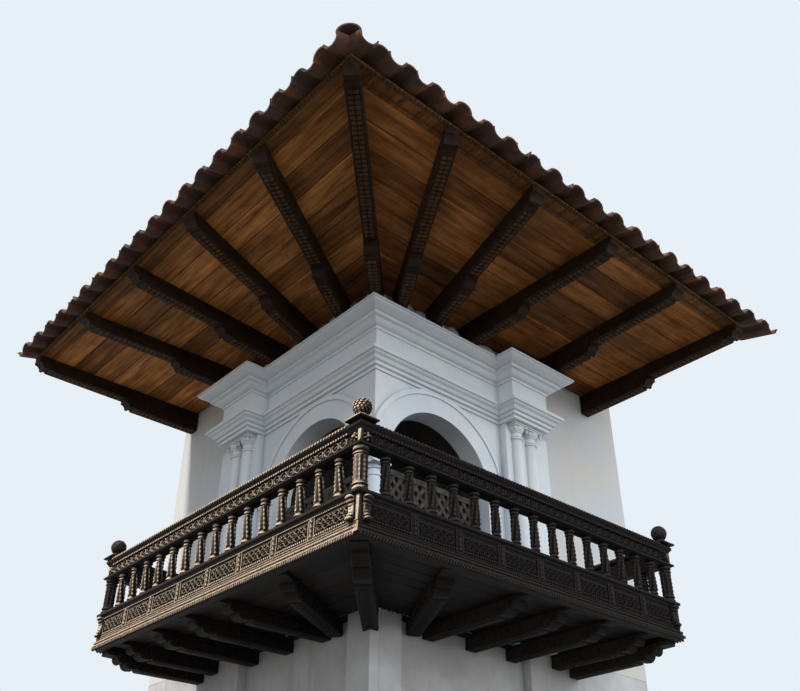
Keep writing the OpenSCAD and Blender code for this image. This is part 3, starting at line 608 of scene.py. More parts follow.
def swept_moulding(name, outline_at, profile, corners):
    """A cylinder with a side for each corner of the plan and a loop for each step of the profile.

    outline_at gives the plan's corners for a projection, and profile holds (projection, height)."""
    bpy.ops.mesh.primitive_cylinder_add(vertices=corners, radius=1.0, depth=2.0, end_fill_type="NGON")
    piece = bpy.context.object
    piece.name = name
    lay_loops(piece, len(profile) - 2)
    outlines = [outline_at(out) for out, _ in profile]
    for vertex in piece.data.vertices:
        step = round((vertex.co.z + 1.0) / 2.0 * (len(profile) - 1))
        turned = math.atan2(vertex.co.y, vertex.co.x) % (2.0 * math.pi)
        spot = outlines[step][round(turned / (2.0 * math.pi) * corners) % corners]
        vertex.co = (*spot, profile[step][1])
    face_outwards(piece)
    return piece


def keep_side(piece, point, normal):
    """Bisects a piece and drops what lies on the side that the normal points to."""
    work_on(piece)
    bpy.ops.object.mode_set(mode="EDIT")
    bpy.ops.mesh.select_all(action="SELECT")
    bpy.ops.mesh.bisect(plane_co=point, plane_no=normal, use_fill=True, clear_outer=True)
    bpy.ops.object.mode_set(mode="OBJECT")


def give_tone(piece, per_part):
    """Writes one random tone for each run of vertices that makes up one board or tile."""
    count = len(piece.data.vertices)
    tones = np.repeat(dice.random(count // per_part + 1), per_part)[:count]
    attribute = piece.data.attributes.new("tone", "FLOAT", "POINT")
    attribute.data.foreach_set("value", tones.astype(np.float32))


# %% [markdown]
# Below the balcony the walls lie back between flat pilasters, up to the deck's boards, so that the
# corbels come out of the recess. The end pilasters go on to the ends of the walls.

# %% Walls below the balcony
recess, under_deck = 0.120, 4.390
corner_front_wide, corner_side_wide = 0.355, 0.410
end_pilaster_at = 2.300
front_low, front_high = (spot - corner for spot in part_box("lower_front_wall"))
side_low, side_high = (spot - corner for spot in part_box("lower_side_wall"))
lower_front = block((front_low.x, recess, 0.0), (-recess, front_high.y, under_deck))
lower_side = block((side_low.x, front_high.y, 0.0), (-recess, side_high.y, under_deck))
hand_over(lower_front, lower_plaster, "plaster", "lower_front_wall")
hand_over(lower_side, lower_plaster, "plaster", "lower_side_wall")
corner_blocks = [block((-corner_front_wide, 0.0, 0.0), (0.0, recess + 0.002, under_deck), 0.006),
                 block((-recess - 0.002, recess, 0.0), (0.0, corner_side_wide, under_deck), 0.006)]
hand_over(join(corner_blocks, "corner_pilaster_work"), lower_plaster, "plaster", "corner_pilaster")
end_blocks = [block((front_low.x, 0.0, 0.0), (-end_pilaster_at, recess + 0.002, under_deck), 0.006),
              block((-recess - 0.002, end_pilaster_at, 0.0), (0.0, side_high.y, under_deck), 0.006)]
hand_over(join(end_blocks, "end_pilaster_work"), lower_plaster, "plaster", "end_pilasters")

# %% [markdown]
# Over the columns the entablature breaks forward. One plan holds the whole run, from the far side of
# the front pair to the far side of the side pair, and the profile is drawn round it with mitred
# corners: fascias and a cap for the architrave, a plain frieze, and the cornice's stepped throat.

# %% Entablature
order_low = 7.105
front_order = (2.200, 2.810)
side_order = (2.020, 2.625)
order_out = 0.265
order_plan = [(-front_order[1], 0.0), (-front_order[1], -order_out), (-front_order[0], -order_out),
              (-front_order[0], 0.0), (0.0, 0.0), (0.0, side_order[0]), (order_out, side_order[0]),
              (order_out, side_order[1]), (0.0, side_order[1])]


def plan_at(out):
    """The plan drawn outward by a distance, and closed again just inside the walls' faces."""
    spots = [Vector(spot) for spot in order_plan]
    ways = [(b - a).normalized() for a, b in zip(spots[:-1], spots[1:])]
    sides = [Vector((way.y, -way.x)) for way in ways]
    shifts = [sides[0], *[a + b for a, b in zip(sides[:-1], sides[1:])], sides[-1]]
    moved = [tuple(spot + shift * out) for spot, shift in zip(spots, shifts)]
    return [*moved, (-0.004, moved[-1][1]), (-0.004, 0.004), (moved[0][0], 0.004)]


profile = [(0.000, 0.000), (0.020, 0.001), (0.020, 0.042), (0.052, 0.046), (0.054, 0.084), (0.080, 0.089),
           (0.094, 0.104), (0.104, 0.126), (0.115, 0.130), (0.136, 0.142), (0.146, 0.160), (0.170, 0.164),
           (0.170, 0.205), (0.020, 0.212), (0.020, 0.536), (0.036, 0.540), (0.036, 0.575), (0.060, 0.580),
           (0.088, 0.592), (0.106, 0.612), (0.124, 0.634), (0.162, 0.640), (0.162, 0.678), (0.184, 0.682),
           (0.214, 0.700), (0.252, 0.714), (0.276, 0.728), (0.284, 0.750), (0.300, 0.750), (0.300, 0.775)]
profile = [(out, order_low + height) for out, height in profile]
entablature = swept_moulding("entablature", plan_at, profile, len(order_plan) + 3)
modify(entablature, "BEVEL", width=0.004, segments=2, limit_method="ANGLE", angle_limit=math.radians(28))
hand_over(entablature, trim_plaster, "moulded_plaster", "entablature_front", "entablature_side",
          "entablature_breaks", smooth=30)

# %% [markdown]
# The moulded rings round the arches run up behind the order. They are cut level where its first
# fascia starts, so that nothing of them shows through it.

# %% Arch mouldings
for name in ("archivolt_front", "archivolt_side"):
    ring = nodes[name].copy()
    ring.data = nodes[name].data.copy()
    ring.name = "cut_" + name
    scene.collection.objects.link(ring)
    ring.data.transform(Matrix.Translation(-corner))
    work_on(ring)
    bpy.ops.object.mode_set(mode="EDIT")
    bpy.ops.mesh.select_all(action="SELECT")
    bpy.ops.mesh.remove_doubles(threshold=0.0001)
    bpy.ops.object.mode_set(mode="OBJECT")
    keep_side(ring, (0.0, 0.0, order_low + 0.002), (0.0, 0.0, 1.0))
    if ring.data.has_custom_normals:
        bpy.ops.mesh.customdata_custom_splitnormals_clear()
    bpy.ops.object.shade_flat()
    hand_over(ring, trim_plaster, "moulded_plaster", name)

# %% [markdown]
# Each pair of columns stands half in a flat pilaster. Rings, neck and the round echinus are turned;
# two thin plates lie on top, with a leaf curling down at each of their corners.

# %% Column pairs
column_radius, column_spacing, pilaster_out = 0.078, 0.256, 0.110
front_pilaster_end, side_pilaster_end = 3.030, 2.800
deck_top = under_deck + 0.045
base_high, capital_high, plates_high = 0.090, 0.180, 0.045
capital_outline = [(0.000, 1.00), (0.012, 1.00), (0.016, 1.20), (0.024, 1.24), (0.032, 1.20), (0.036, 1.06),
                   (0.042, 1.08), (0.046, 1.16), (0.052, 1.16), (0.056, 1.00), (0.062, 0.97), (0.108, 0.98),
                   (0.112, 1.10), (0.120, 1.14), (0.126, 1.10), (0.130, 1.16), (0.145, 1.34), (0.160, 1.46),
                   (0.172, 1.50), (0.180, 1.48)]
base_outline = [(0.000, 1.35), (0.030, 1.35), (0.040, 1.28), (0.060, 1.30), (0.075, 1.16), (0.090, 1.00)]


def turned_ring(outline, low):
    """Turned to an outline of (height, share of the shaft's radius)."""
    steps = [(share * column_radius, low + height) for height, share in outline]
    turns = [2.0 * math.pi * side / 32 for side in range(32)]

    def circle_at(radius):
        return [(radius * math.cos(turn), radius * math.sin(turn)) for turn in turns]
    return swept_moulding("turned_ring", circle_at, steps, len(turns))


def column():
    """Base, shaft, capital, two plates, and a leaf under each corner of the plates."""
    shaft_top = order_low - plates_high - capital_high
    shaft_high = shaft_top + 0.004 - deck_top - base_high
    parts = [turned_ring([(0.0, 1.0), (shaft_high, 1.0)], deck_top + base_high - 0.002),
             turned_ring(base_outline, deck_top), turned_ring(capital_outline, shaft_top)]
    for half, low, high in ((0.122, plates_high, 0.026), (0.1285, 0.023, 0.002)):
        parts.append(block((-half, -half, order_low - low), (half, half, order_low - high), 0.004))
    leaf = scaled_ball((0.016, 0.016, 0.034), (0.100, 0.100, order_low - 0.074), 10, 6)
    quarter_turns = [Matrix.Rotation(math.pi / 2 * step, 4, "Z") for step in range(4)]
    parts.append(lay_copies(leaf, quarter_turns, "leaves"))
    return join(parts, "column")


def column_pair(name, centre, along, out):
    """Two columns about a centre on the wall's line, with along and out as the wall's two directions."""
    axes = [Vector((*centre, 0.0)) + Vector((*along, 0.0)) * side * column_spacing / 2
            + Vector((*out, 0.0)) * pilaster_out for side in (-1, 1)]
    return lay_copies(column(), [Matrix.Translation(axis) for axis in axes], name)


front_middle = -(front_order[0] + front_order[1]) / 2
side_middle = (side_order[0] + side_order[1]) / 2
front_pilaster = block((-front_pilaster_end, -pilaster_out, under_deck),
                       (-front_order[0], 0.004, order_low + 0.002), 0.006)
side_pilaster = block((-0.004, side_order[0], under_deck),
                      (pilaster_out, side_pilaster_end, order_low + 0.002), 0.006)
front_pair = join([column_pair("pair", (front_middle, 0.0), (1.0, 0.0), (0.0, -1.0)), front_pilaster],
                  "front_column_pair")
side_pair = join([column_pair("pair", (0.0, side_middle), (0.0, 1.0), (1.0, 0.0)), side_pilaster],
                 "side_column_pair")
hand_over(front_pair, trim_plaster, "moulded_plaster", "front_columns", smooth=40)
hand_over(side_pair, trim_plaster, "moulded_plaster", "side_columns", smooth=40)

# %% [markdown]
# The roof's sizes follow from how far the eave reaches out over each street, from the slope, and from
# how far one tile laps the next.

# %% Roof sizes
eave_front_out, eave_side_out = 2.425, 2.493
house_front, house_side = 4.400, 4.468
tile_out = 0.170
roof_level = 8.232
pitch_angle = math.radians(18.0)
tile_length, tile_step, tile_pitch = 0.455, 0.380, 0.3363
tile_wall, tile_flatness, tile_lift = 0.015, 0.80, 0.016

# %% [markdown]
# Barrel tiles lie in two layers: channels with their hollow up, and covers over the joints with
# their hollow down. One tile is half a cylinder, flattened, tapered towards the end that the next
# tile laps, and given its thickness.

# %% One tile
def barrel_tile(name, radius, hollow_up):
    """One tile with its low end at y = 0; a channel is turned over, so that its hollow looks up."""
    bpy.ops.mesh.primitive_cylinder_add(vertices=20, radius=radius, depth=tile_length,
                                        end_fill_type="NOTHING", rotation=(math.pi / 2, 0.0, 0.0))
    tile = bpy.context.object
    tile.name = name
    apply_transforms(tile)
    bpy.ops.object.mode_set(mode="EDIT")
    bpy.ops.mesh.select_all(action="DESELECT")
    bpy.ops.object.mode_set(mode="OBJECT")
    for face in tile.data.polygons:
        face.select = face.center.z < 0.0
    bpy.ops.object.mode_set(mode="EDIT")
    bpy.ops.mesh.delete(type="FACE")
    bpy.ops.object.mode_set(mode="OBJECT")
    for vertex in tile.data.vertices:
        high_end = vertex.co.y > 0.0
        squeeze = (0.82 if high_end else 1.0) if not hollow_up else (1.0 if high_end else 0.84)
        vertex.co.x *= squeeze
        vertex.co.z *= tile_flatness * squeeze
        vertex.co.z += 0.0 if high_end else tile_lift
        vertex.co.y += tile_length / 2
        if hollow_up:
            lift = 0.0 if high_end else 2.0 * tile_lift
            vertex.co.z = -vertex.co.z + lift + radius * tile_flatness + tile_wall
    face_outwards(tile)
    modify(tile, "SOLIDIFY", thickness=tile_wall, offset=0.0)
    return tile


channel = barrel_tile("channel_tile", 0.118, True)
cover = barrel_tile("cover_tile", 0.098, False)
cover.data.transform(Matrix.Translation((0.0, 0.0, 0.036)))
for tile in (channel, cover):
    heights = [vertex.co.z for vertex in tile.data.vertices]
    print(tile.name, "from", round(min(heights), 3), "to", round(max(heights), 3))

# %% [markdown]
# A field of tiles is an array across and up the slope. Each tile is then nudged a little, because
# hand-made tiles never lie true, and the field is cut along the hip. The side slope is built as the
# front slope is, and then turned a quarter round.

# %% Tiled slopes
def tile_field(name, across):
    """Tiles in the front slope's place: the low edge on y = 0, and x running right to the hip."""
    up_run = (house_side + eave_front_out + tile_out) / math.cos(pitch_angle)
    rows = math.ceil(up_run / tile_step)
    columns = math.ceil(across / tile_pitch)
    made = []
    for template, shift in ((channel, 0.0), (cover, tile_pitch / 2)):
        field = template.copy()
        field.data = template.data.copy()
        bpy.context.collection.objects.link(field)
        per_tile = len(field.data.vertices)
        repeat_along(field, (-tile_pitch, 0.0, 0.0), columns)
        repeat_along(field, (0.0, tile_step, 0.0), rows)
        count = len(field.data.vertices)
        places = np.zeros(count * 3, np.float32)
        field.data.vertices.foreach_get("co", places)
        places = places.reshape(-1, per_tile, 3)
        tiles = len(places)
        centres = places.mean(axis=1, keepdims=True)
        sway = dice.normal(0.0, 0.018, (tiles, 1))
        local = places - centres
        places[:, :, 0] = centres[:, :, 0] + local[:, :, 0] - sway * local[:, :, 1]
        places[:, :, 1] = centres[:, :, 1] + local[:, :, 1] + sway * local[:, :, 0]
        places[:, :, 0] += dice.normal(0.0, 0.005, (tiles, 1)) - shift
        places[:, :, 1] += dice.normal(0.0, 0.006, (tiles, 1))
        places[:, :, 2] += np.clip(dice.normal(0.0, 0.003, (tiles, 1)), -0.004, 0.004)
        field.data.vertices.foreach_set("co", places.ravel())
        give_tone(field, per_tile)
        made.append(field)
    slope = join(made, name)
    slope.data.transform(Matrix.Rotation(pitch_angle, 4, "X"))
    return slope


def fit_slope(slope, low_corner, turn, hip_normal, end_point, end_normal):
    """Lays a slope on its low corner, and cuts it along the hip and at the party wall."""
    slope.data.transform(Matrix.Translation(low_corner) @ Matrix.Rotation(turn, 4, "Z"))
    hip_point = (eave_side_out + tile_out, -eave_front_out - tile_out, 0.0)
    keep_side(slope, hip_point, hip_normal)
    keep_side(slope, end_point, end_normal)


low_z = roof_level - tile_out * math.tan(pitch_angle) + 0.004
first = tile_pitch * 0.62
front_slope = tile_field("front_tiles", house_front + eave_side_out + tile_out)
fit_slope(front_slope, (eave_side_out + tile_out - first, -eave_front_out - tile_out, low_z), 0.0,
          (1.0, 1.0, 0.0), (-house_front, 0.0, 0.0), (-1.0, 0.0, 0.0))
side_slope = tile_field("side_tiles", house_side + eave_front_out + tile_out)
side_slope.data.transform(Matrix.Scale(-1.0, 4, (1.0, 0.0, 0.0)))
side_slope.data.flip_normals()
fit_slope(side_slope, (eave_side_out + tile_out, -eave_front_out - tile_out + first, low_z), math.pi / 2,
          (-1.0, -1.0, 0.0), (0.0, house_side, 0.0), (0.0, 1.0, 0.0))
bpy.data.objects.remove(channel)
hand_over(front_slope, clay, "clay_tiles", "roof_front", smooth=40)
hand_over(side_slope, clay, "clay_tiles", "roof_side", smooth=40)

# %% [markdown]
# The hip is closed by a line of larger covers bedded in mortar, each lapping the one below it.

# %% Hip tiles
hip_plan = (house_front + eave_side_out + tile_out) * math.sqrt(2.0)
hip_climb = math.atan(math.tan(pitch_angle) / math.sqrt(2.0))
hip_length = hip_plan / math.cos(hip_climb)
hip_turn = (Matrix.Rotation(math.radians(45.0), 4, "Z") @ Matrix.Rotation(hip_climb, 4, "X"))
hip_foot = Vector((eave_side_out + tile_out - 0.06, -eave_front_out - tile_out + 0.06, low_z + 0.075))
matrices = []
for step in range(int(hip_length / tile_step)):
    nudge = Matrix.Rotation(dice.normal(0.0, 0.02), 4, "Z")
    along = Matrix.Translation((dice.normal(0.0, 0.004), step * tile_step, 0.0))
    matrices.append(Matrix.Translation(hip_foot) @ hip_turn @ along @ nudge @ Matrix.Scale(1.12, 4))
per_tile = len(cover.data.vertices)
hip_row = lay_copies(cover, matrices, "hip_cover_tiles")
give_tone(hip_row, per_tile)
hand_over(hip_row, clay, "clay_tiles", "hip_tiles", smooth=40)

# %% [markdown]
# In plan the rafters fan out from the corner. Each is given by its place on the eave's edge, as a
# share of the edge's length, and by its place on the wall.

# %% Eave timbers in plan
board_level, board_thick = 8.207, 0.025
edge_width = 0.200
eave_corner = Vector((eave_side_out, -eave_front_out))
front_length, side_length = 4.225, 3.925
rafter_level, rafter_wide = 8.037, 0.150
bracket_level, bracket_length = 7.924, 1.150
front_rafters = [(eave_corner.x - (eave_corner.x + front_length) * share, inner)
                 for share, inner in ((0.215, -0.550), (0.412, -1.215), (0.602, -1.800), (0.788, -2.730))]
side_rafters = [(eave_corner.y + (side_length - eave_corner.y) * share, inner)
                for share, inner in ((0.198, 0.312), (0.393, 0.812), (0.592, 1.361), (0.787, 2.706))]

# %% [markdown]
# Over the rafters lie sawn boards, parallel with the eave, cut where they meet the middle of a
# rafter. Each is a cube whose end vertices are slid to the rafters' slanting lines, so a board and
# its neighbours end together, and each has a bead near its outer edge. Their slight differences in
# level and tone give the soffit its life.

# %% Soffit boards
board_joint, bead_back, bead_wide, bead_drop = 0.005, 0.028, 0.014, 0.006


def between(side, share):
    """A place on a rafter's line, given as (place at the eave, place at the wall)."""
    return side[1] + (side[0] - side[1]) * share


def slanted_board(ends, bottom, top):
    """A cube with slid ends: ends holds (left, right, y) of its inner and its outer edge."""
    bpy.ops.mesh.primitive_cube_add(size=1.0)
    board = bpy.context.object
    for vertex in board.data.vertices:
        left, right, y = ends[0] if vertex.co.y > 0.0 else ends[1]
        vertex.co = (left if vertex.co.x > 0.0 else right, y, top if vertex.co.z > 0.0 else bottom)
    face_outwards(board)
    modify(board, "BEVEL", width=0.005, segments=1, limit_method="ANGLE")
    return board


def board_rows(name, corner_out, lines, rows):
    """Boards of the front soffit in plan: lines holds each rafter's place at the eave and at the wall."""
    made = []
    depth = corner_out - edge_width
    for row in range(rows):
        near = row * depth / rows + board_joint
        far = (row + 1) * depth / rows - board_joint
        for side_a, side_b in zip(lines[:-1], lines[1:]):
            if abs(between(side_a, near / corner_out) - between(side_b, near / corner_out)) < 0.05:
                continue
            level = board_level + dice.normal(0.0, 0.0015)
            bead_at = far - bead_back
            for low, high, bottom in ((near, far, level), (bead_at, bead_at + bead_wide, level - bead_drop)):
                ends = [(between(side_a, y / corner_out), between(side_b, y / corner_out), -y)
                        for y in (low, high)]
                made.append(slanted_board(ends, bottom, level + board_thick - 0.001))
    per_board = 2 * len(made[0].data.vertices)
    joined = join(made, name)
    give_tone(joined, per_board)
    return joined


front_lines = [(eave_corner.x, 0.0), *front_rafters, (-front_length, -front_length)]
front_boards = board_rows("front_soffit_boards", eave_front_out, front_lines, 8)
hand_over(front_boards, boards_along_x, "board_wood", "soffit_front")
side_lines = [(-eave_corner.y, 0.0), *[(-out, -inner) for out, inner in side_rafters],
              (-side_length, -side_length)]
side_boards = board_rows("side_soffit_boards", eave_side_out, side_lines, 8)
swap_streets = Matrix(((0.0, -1.0, 0.0, 0.0), (-1.0, 0.0, 0.0, 0.0),
                       (0.0, 0.0, 1.0, 0.0), (0.0, 0.0, 0.0, 1.0)))
side_boards.data.transform(swap_streets)
side_boards.data.flip_normals()
hand_over(side_boards, boards_along_y, "board_wood", "soffit_side")

# %% [markdown]
# Under every rafter, and under the bracket that doubles it near the wall, runs a strip cut into two
# rows of small blocks. One pair of blocks is modelled and arrayed along each timber.

# %% Notched strips under the rafters
strip_wide, strip_pitch, strip_drop = 0.104, 0.062, 0.016


def notched_strip(length):
    """Two rows of blocks that run along +X for a length."""
    block_wide = strip_wide * 0.42
    pair = [block((0.0, low, -strip_drop), (strip_pitch * 0.62, low + block_wide, 0.004), 0.004)
            for low in (-strip_wide / 2, strip_wide / 2 - block_wide - 0.004)]
    strip = join(pair, "pair_of_blocks")
    repeat_along(strip, (strip_pitch, 0.0, 0.0), max(2, int(length / strip_pitch)))
    return strip


def timber_lines():
    """Each timber's place in plan, from the eave's edge in to the wall."""
    lines = [(Vector((eave_corner.x, eave_corner.y)), Vector((0.0, 0.0)))]
    for out, inner in front_rafters:
        lines.append((Vector((out, -eave_front_out)), Vector((inner, 0.0))))
    end = -front_length + rafter_wide / 2
    lines.append((Vector((end, -eave_front_out)), Vector((end, 0.0))))
    for out, inner in side_rafters:
        lines.append((Vector((eave_side_out, out)), Vector((0.0, inner))))
    end = side_length - rafter_wide / 2
    lines.append((Vector((eave_side_out, end)), Vector((0.0, end))))
    return lines


strips = []
for outer, inner in timber_lines():
    run = inner - outer
    length = run.length
    facing_turn = Matrix.Rotation(math.atan2(run.y, run.x), 4, "Z")
    for start, stop, level in ((0.24, length - bracket_length - 0.02, rafter_level),
                               (length - bracket_length + 0.22, length - 0.06, bracket_level)):
        strip = notched_strip(stop - start)
        strip.data.transform(Matrix.Translation((outer.x, outer.y, level)) @ facing_turn
                             @ Matrix.Translation((start, 0.0, 0.0)))
        strips.append(strip)
rafter_carving = join(strips, "rafter_notched_strips")
hand_over(rafter_carving, strip_wood, "rafter_wood")

# %% [markdown]
# The balcony's parapet has four straight runs: two on the streets and one back to each wall. A piece
# of carving is modelled once, looking to -Y with x along the rail, repeated, and laid on each run.

# %% The parapet's runs
front_out, side_out = 1.320, 1.420
left_end, right_end = -3.145, 3.080
middle_in = 0.035
runs = {
    "front": (Vector((left_end, -front_out, 0.0)), 0.0, side_out - left_end),
    "side": (Vector((side_out, -front_out, 0.0)), math.pi / 2, right_end + front_out),
    "left_return": (Vector((left_end, 0.0, 0.0)), -math.pi / 2, front_out),
    "right_return": (Vector((side_out, right_end, 0.0)), math.pi, side_out),
}
foot_level, deck_level = 4.350, 4.400
panel_low, panel_high = foot_level + 0.140, foot_level + 0.335
rail_top = foot_level + 0.335 + 0.058
upper_low = foot_level + 0.790
band_low, band_high = upper_low + 0.046, upper_low + 0.150
cap_high = upper_low + 0.252


def run_matrix(run):
    start, angle, _ = runs[run]
    return Matrix.Translation(start) @ Matrix.Rotation(angle, 4, "Z")


def repeat_on(template, run, first, pitch, count, name):
    """Copies a template along a run, from a first place on and at a pitch."""
    piece = template.copy()
    piece.data = template.data.copy()
    bpy.context.collection.objects.link(piece)
    piece.name = name
    if count > 1:
        repeat_along(piece, (pitch, 0.0, 0.0), count)
    piece.data.transform(run_matrix(run) @ Matrix.Translation((first, 0.0, 0.0)))
    return piece


# %% [markdown]
# Carved relief is a fine grid pulled out of the board: the height of each point comes from a small
# drawing rule, such as rings that cross or leaves round a middle. The rim is drawn back into the
# board, so that the piece is closed.

# %% Relief panels
def write_sunk(piece, depths):
    """Writes how deep each point is cut, from 0 where it stands proud to 1 in the ground."""
    attribute = piece.data.attributes.new("sunk", "FLOAT", "POINT")
    attribute.data.foreach_set("value", np.asarray(depths, np.float32))


def relief(name, width, height, columns, rows, depth, rule):
    """A carved sheet from x = 0 to width and z = 0 to height, standing out to -Y by depth at the most."""
    bpy.ops.mesh.primitive_grid_add(x_subdivisions=columns, y_subdivisions=rows, size=2.0,
                                    rotation=(math.pi / 2, 0.0, 0.0))
    sheet = bpy.context.object
    sheet.name = name
    apply_transforms(sheet)
    count = len(sheet.data.vertices)
    spots = np.zeros(count * 3, np.float32)
    sheet.data.vertices.foreach_get("co", spots)
    spots = spots.reshape(-1, 3)
    u, v = spots[:, 0].copy(), spots[:, 2].copy()
    rim = np.maximum(abs(u), abs(v)) > 0.999
    lift = np.clip(rule(u, v), 0.0, 1.0) * depth
    spots[:, 0] = (u + 1.0) / 2.0 * width
    spots[:, 2] = (v + 1.0) / 2.0 * height
    spots[:, 1] = np.where(rim, -0.001, -0.002 - lift)
    sheet.data.vertices.foreach_set("co", spots.ravel())
    write_sunk(sheet, 1.0 - np.clip((lift / depth - 0.30) / 0.45, 0.0, 1.0))
    work_on(sheet)
    bpy.ops.object.mode_set(mode="EDIT")
    bpy.ops.mesh.select_all(action="SELECT")
    bpy.ops.mesh.region_to_loop()
    bpy.ops.mesh.extrude_edges_move(TRANSFORM_OT_translate={"value": (0.0, 0.006, 0.0)})
    bpy.ops.mesh.edge_face_add()
    bpy.ops.mesh.select_all(action="SELECT")
    bpy.ops.mesh.normals_make_consistent(inside=False)
    bpy.ops.object.mode_set(mode="OBJECT")
    return sheet


def ridge(distance, width):
    """A rounded ridge over the line where the distance is nought."""
    return np.clip(1.0 - abs(distance) / width, 0.0, 1.0) ** 0.6


def foliage(u, v):
    """Crossed leaf bands with a flower in each opening, three times along the panel."""
    x = (u * 3.0 + 3.0) % 2.0 - 1.0
    r = np.hypot(x, v)
    angle = np.arctan2(v, x)
    bands = np.maximum(ridge(abs(x) - abs(v) * 0.92 - 0.02, 0.20), ridge(abs(x) + abs(v) - 1.02, 0.15))
    bands *= 0.72 + 0.28 * np.cos((x + v) * 26.0) * np.cos((x - v) * 26.0)
    flower = np.clip(1.25 - r / 0.36, 0.0, 1.0) * (0.70 + 0.30 * np.cos(6.0 * angle))
    leaves = ridge(r - 0.70, 0.17) * (0.62 + 0.38 * np.cos(14.0 * angle))
    return np.maximum(np.maximum(bands * 0.85, flower), leaves * 0.8)


def leaf_chain(u, v):
    """Pointed leaves one over the other, with a vein down the middle."""
    y = (v * 2.0 + 2.0) % 1.0
    blade = np.clip(1.0 - abs(u) / (0.92 - 0.75 * y), 0.0, 1.0) ** 0.5
    return blade * (0.72 + 0.28 * np.cos(u * 16.0 + y * 7.0)) + 0.4 * ridge(u, 0.10)


def crossing_rings(u, v):
    """One ring with a flower in it, crossed by its neighbours' rings."""
    r = np.hypot(u, v * 0.95)
    ring = ridge(r - 0.80, 0.17)
    beside = np.maximum(ridge(np.hypot(u - 2.0, v * 0.95) - 1.22, 0.15),
                        ridge(np.hypot(u + 2.0, v * 0.95) - 1.22, 0.15))
    flower = np.clip(1.2 - r / 0.40, 0.0, 1.0) * (0.65 + 0.35 * np.cos(5.0 * np.arctan2(v, u)))
    return np.maximum(np.maximum(ring, beside * 0.8), flower)


panel_count, strip_width, post_width = 8, 0.090, 0.140
street_pieces = {"front": [], "side": []}
for run in ("front", "side"):
    length = runs[run][2]
    pitch = (length - post_width) / panel_count
    opening = pitch - strip_width
    panel = relief("panel", opening - 0.030, panel_high - panel_low - 0.066, 72, 22, 0.024, foliage)
    panel.data.transform(Matrix.Translation((0.0, 0.0, panel_low + 0.030)))
    street_pieces[run].append(repeat_on(panel, run, post_width / 2 + strip_width / 2 + 0.015, pitch,
                                        panel_count, run + "_panels"))
    chain = relief("chain", strip_width - 0.016, panel_high - panel_low - 0.012, 14, 34, 0.012, leaf_chain)
    chain.data.transform(Matrix.Translation((0.0, -0.014, panel_low + 0.006)))
    street_pieces[run].append(repeat_on(chain, run, post_width / 2 - strip_width / 2 + 0.008, pitch,
                                        panel_count + 1, run + "_strips"))
    tooth = block((0.0, -0.016, panel_low + 0.006), (0.017, 0.004, panel_low + 0.026), 0.003, "tooth")
    teeth = int((length - 0.24) / 0.030)
    street_pieces[run].append(repeat_on(tooth, run, 0.12, 0.030, teeth, run + "_teeth"))
    for template in (panel, chain, tooth):
        bpy.data.objects.remove(template)
for run, finish in (("front", sunlit_carving), ("side", shaded_carving)):
    carved = join(street_pieces[run], run + "_carved_panels")
    hand_over(carved, finish, "carved_wood", smooth=35)

# %% [markdown]
# Above the balusters runs the carved band between a thin moulding and the handrail's cap. The band
# is a chain of crossing rings; small teeth hang from the cap, and a rope of slanted beads closes the
# parapet's lowest edge.

# %% Bands, teeth and rope
band_unit = relief("band_unit", 0.110, band_high - band_low - 0.008, 16, 14, 0.016, crossing_rings)
band_unit.data.transform(Matrix.Translation((0.0, 0.0, band_low + 0.004)))
cap_tooth = block((0.0, -0.030, band_high - 0.002), (0.020, -0.004, band_high + 0.020), 0.003, "cap_tooth")
cap_notch = block((0.0, -0.055, cap_high - 0.048), (0.024, -0.020, cap_high - 0.018), 0.005, "cap_notch")
bpy.ops.mesh.primitive_uv_sphere_add(segments=8, ring_count=6, radius=1.0)
rope_bead = bpy.context.object
rope_bead.name = "rope_bead"
rope_bead.scale = (0.015, 0.017, 0.030)
rope_bead.rotation_euler = (0.0, math.radians(32.0), 0.0)
rope_bead.location = (0.0, -0.036, foot_level + 0.012)
apply_transforms(rope_bead)
bpy.ops.mesh.primitive_uv_sphere_add(segments=8, ring_count=5, radius=0.011,
                                     location=(0.0, -0.012, panel_high - 0.011))
bead = bpy.context.object
bead.name = "bead"

for run in runs:
    length = runs[run][2]
    street = run in ("front", "side")
    first = 0.105 if street else 0.02
    usable = length - (0.21 if street else 0.12)
    pieces = [
        repeat_on(band_unit, run, first, 0.110, int(usable / 0.110), run + "_rings"),
        repeat_on(cap_tooth, run, first, 0.036, int(usable / 0.036), run + "_cap_teeth"),
        repeat_on(cap_notch, run, first, 0.042, int(usable / 0.042), run + "_cap_notches"),
        repeat_on(rope_bead, run, 0.0, 0.034, int(length / 0.034) + 1, run + "_rope"),
        repeat_on(bead, run, first, 0.024, int(usable / 0.024), run + "_beads"),
    ]
    finish = sunlit_carving if run == "front" else shaded_carving
    hand_over(join(pieces, run + "_rail_carving"), finish, "carved_wood", smooth=40)
for template in (band_unit, cap_tooth, cap_notch, rope_bead, bead):
    bpy.data.objects.remove(template)

# %% [markdown]
# A baluster is turned, so its rings come from a cylinder's loops scaled in and out. Its shaft is
# carved as well: ridges are drawn out between grooves, notched like leaves, and the loops are then
# turned one against the other, so that the ridges wind round the shaft.

# %% Turned and carved shafts
baluster_height = 0.397
baluster_outline = [(0.0, 0.050), (0.05, 0.050), (0.06, 0.037), (0.085, 0.037), (0.095, 0.047),
                    (0.13, 0.047), (0.145, 0.036), (0.175, 0.036), (0.19, 0.045), (0.50, 0.042),
                    (0.78, 0.038), (0.79, 0.033), (0.815, 0.033), (0.825, 0.044), (0.865, 0.044),
                    (0.875, 0.034), (0.90, 0.034), (0.91, 0.049), (0.96, 0.049), (1.0, 0.042)]
leaves_up_shaft = 9.0


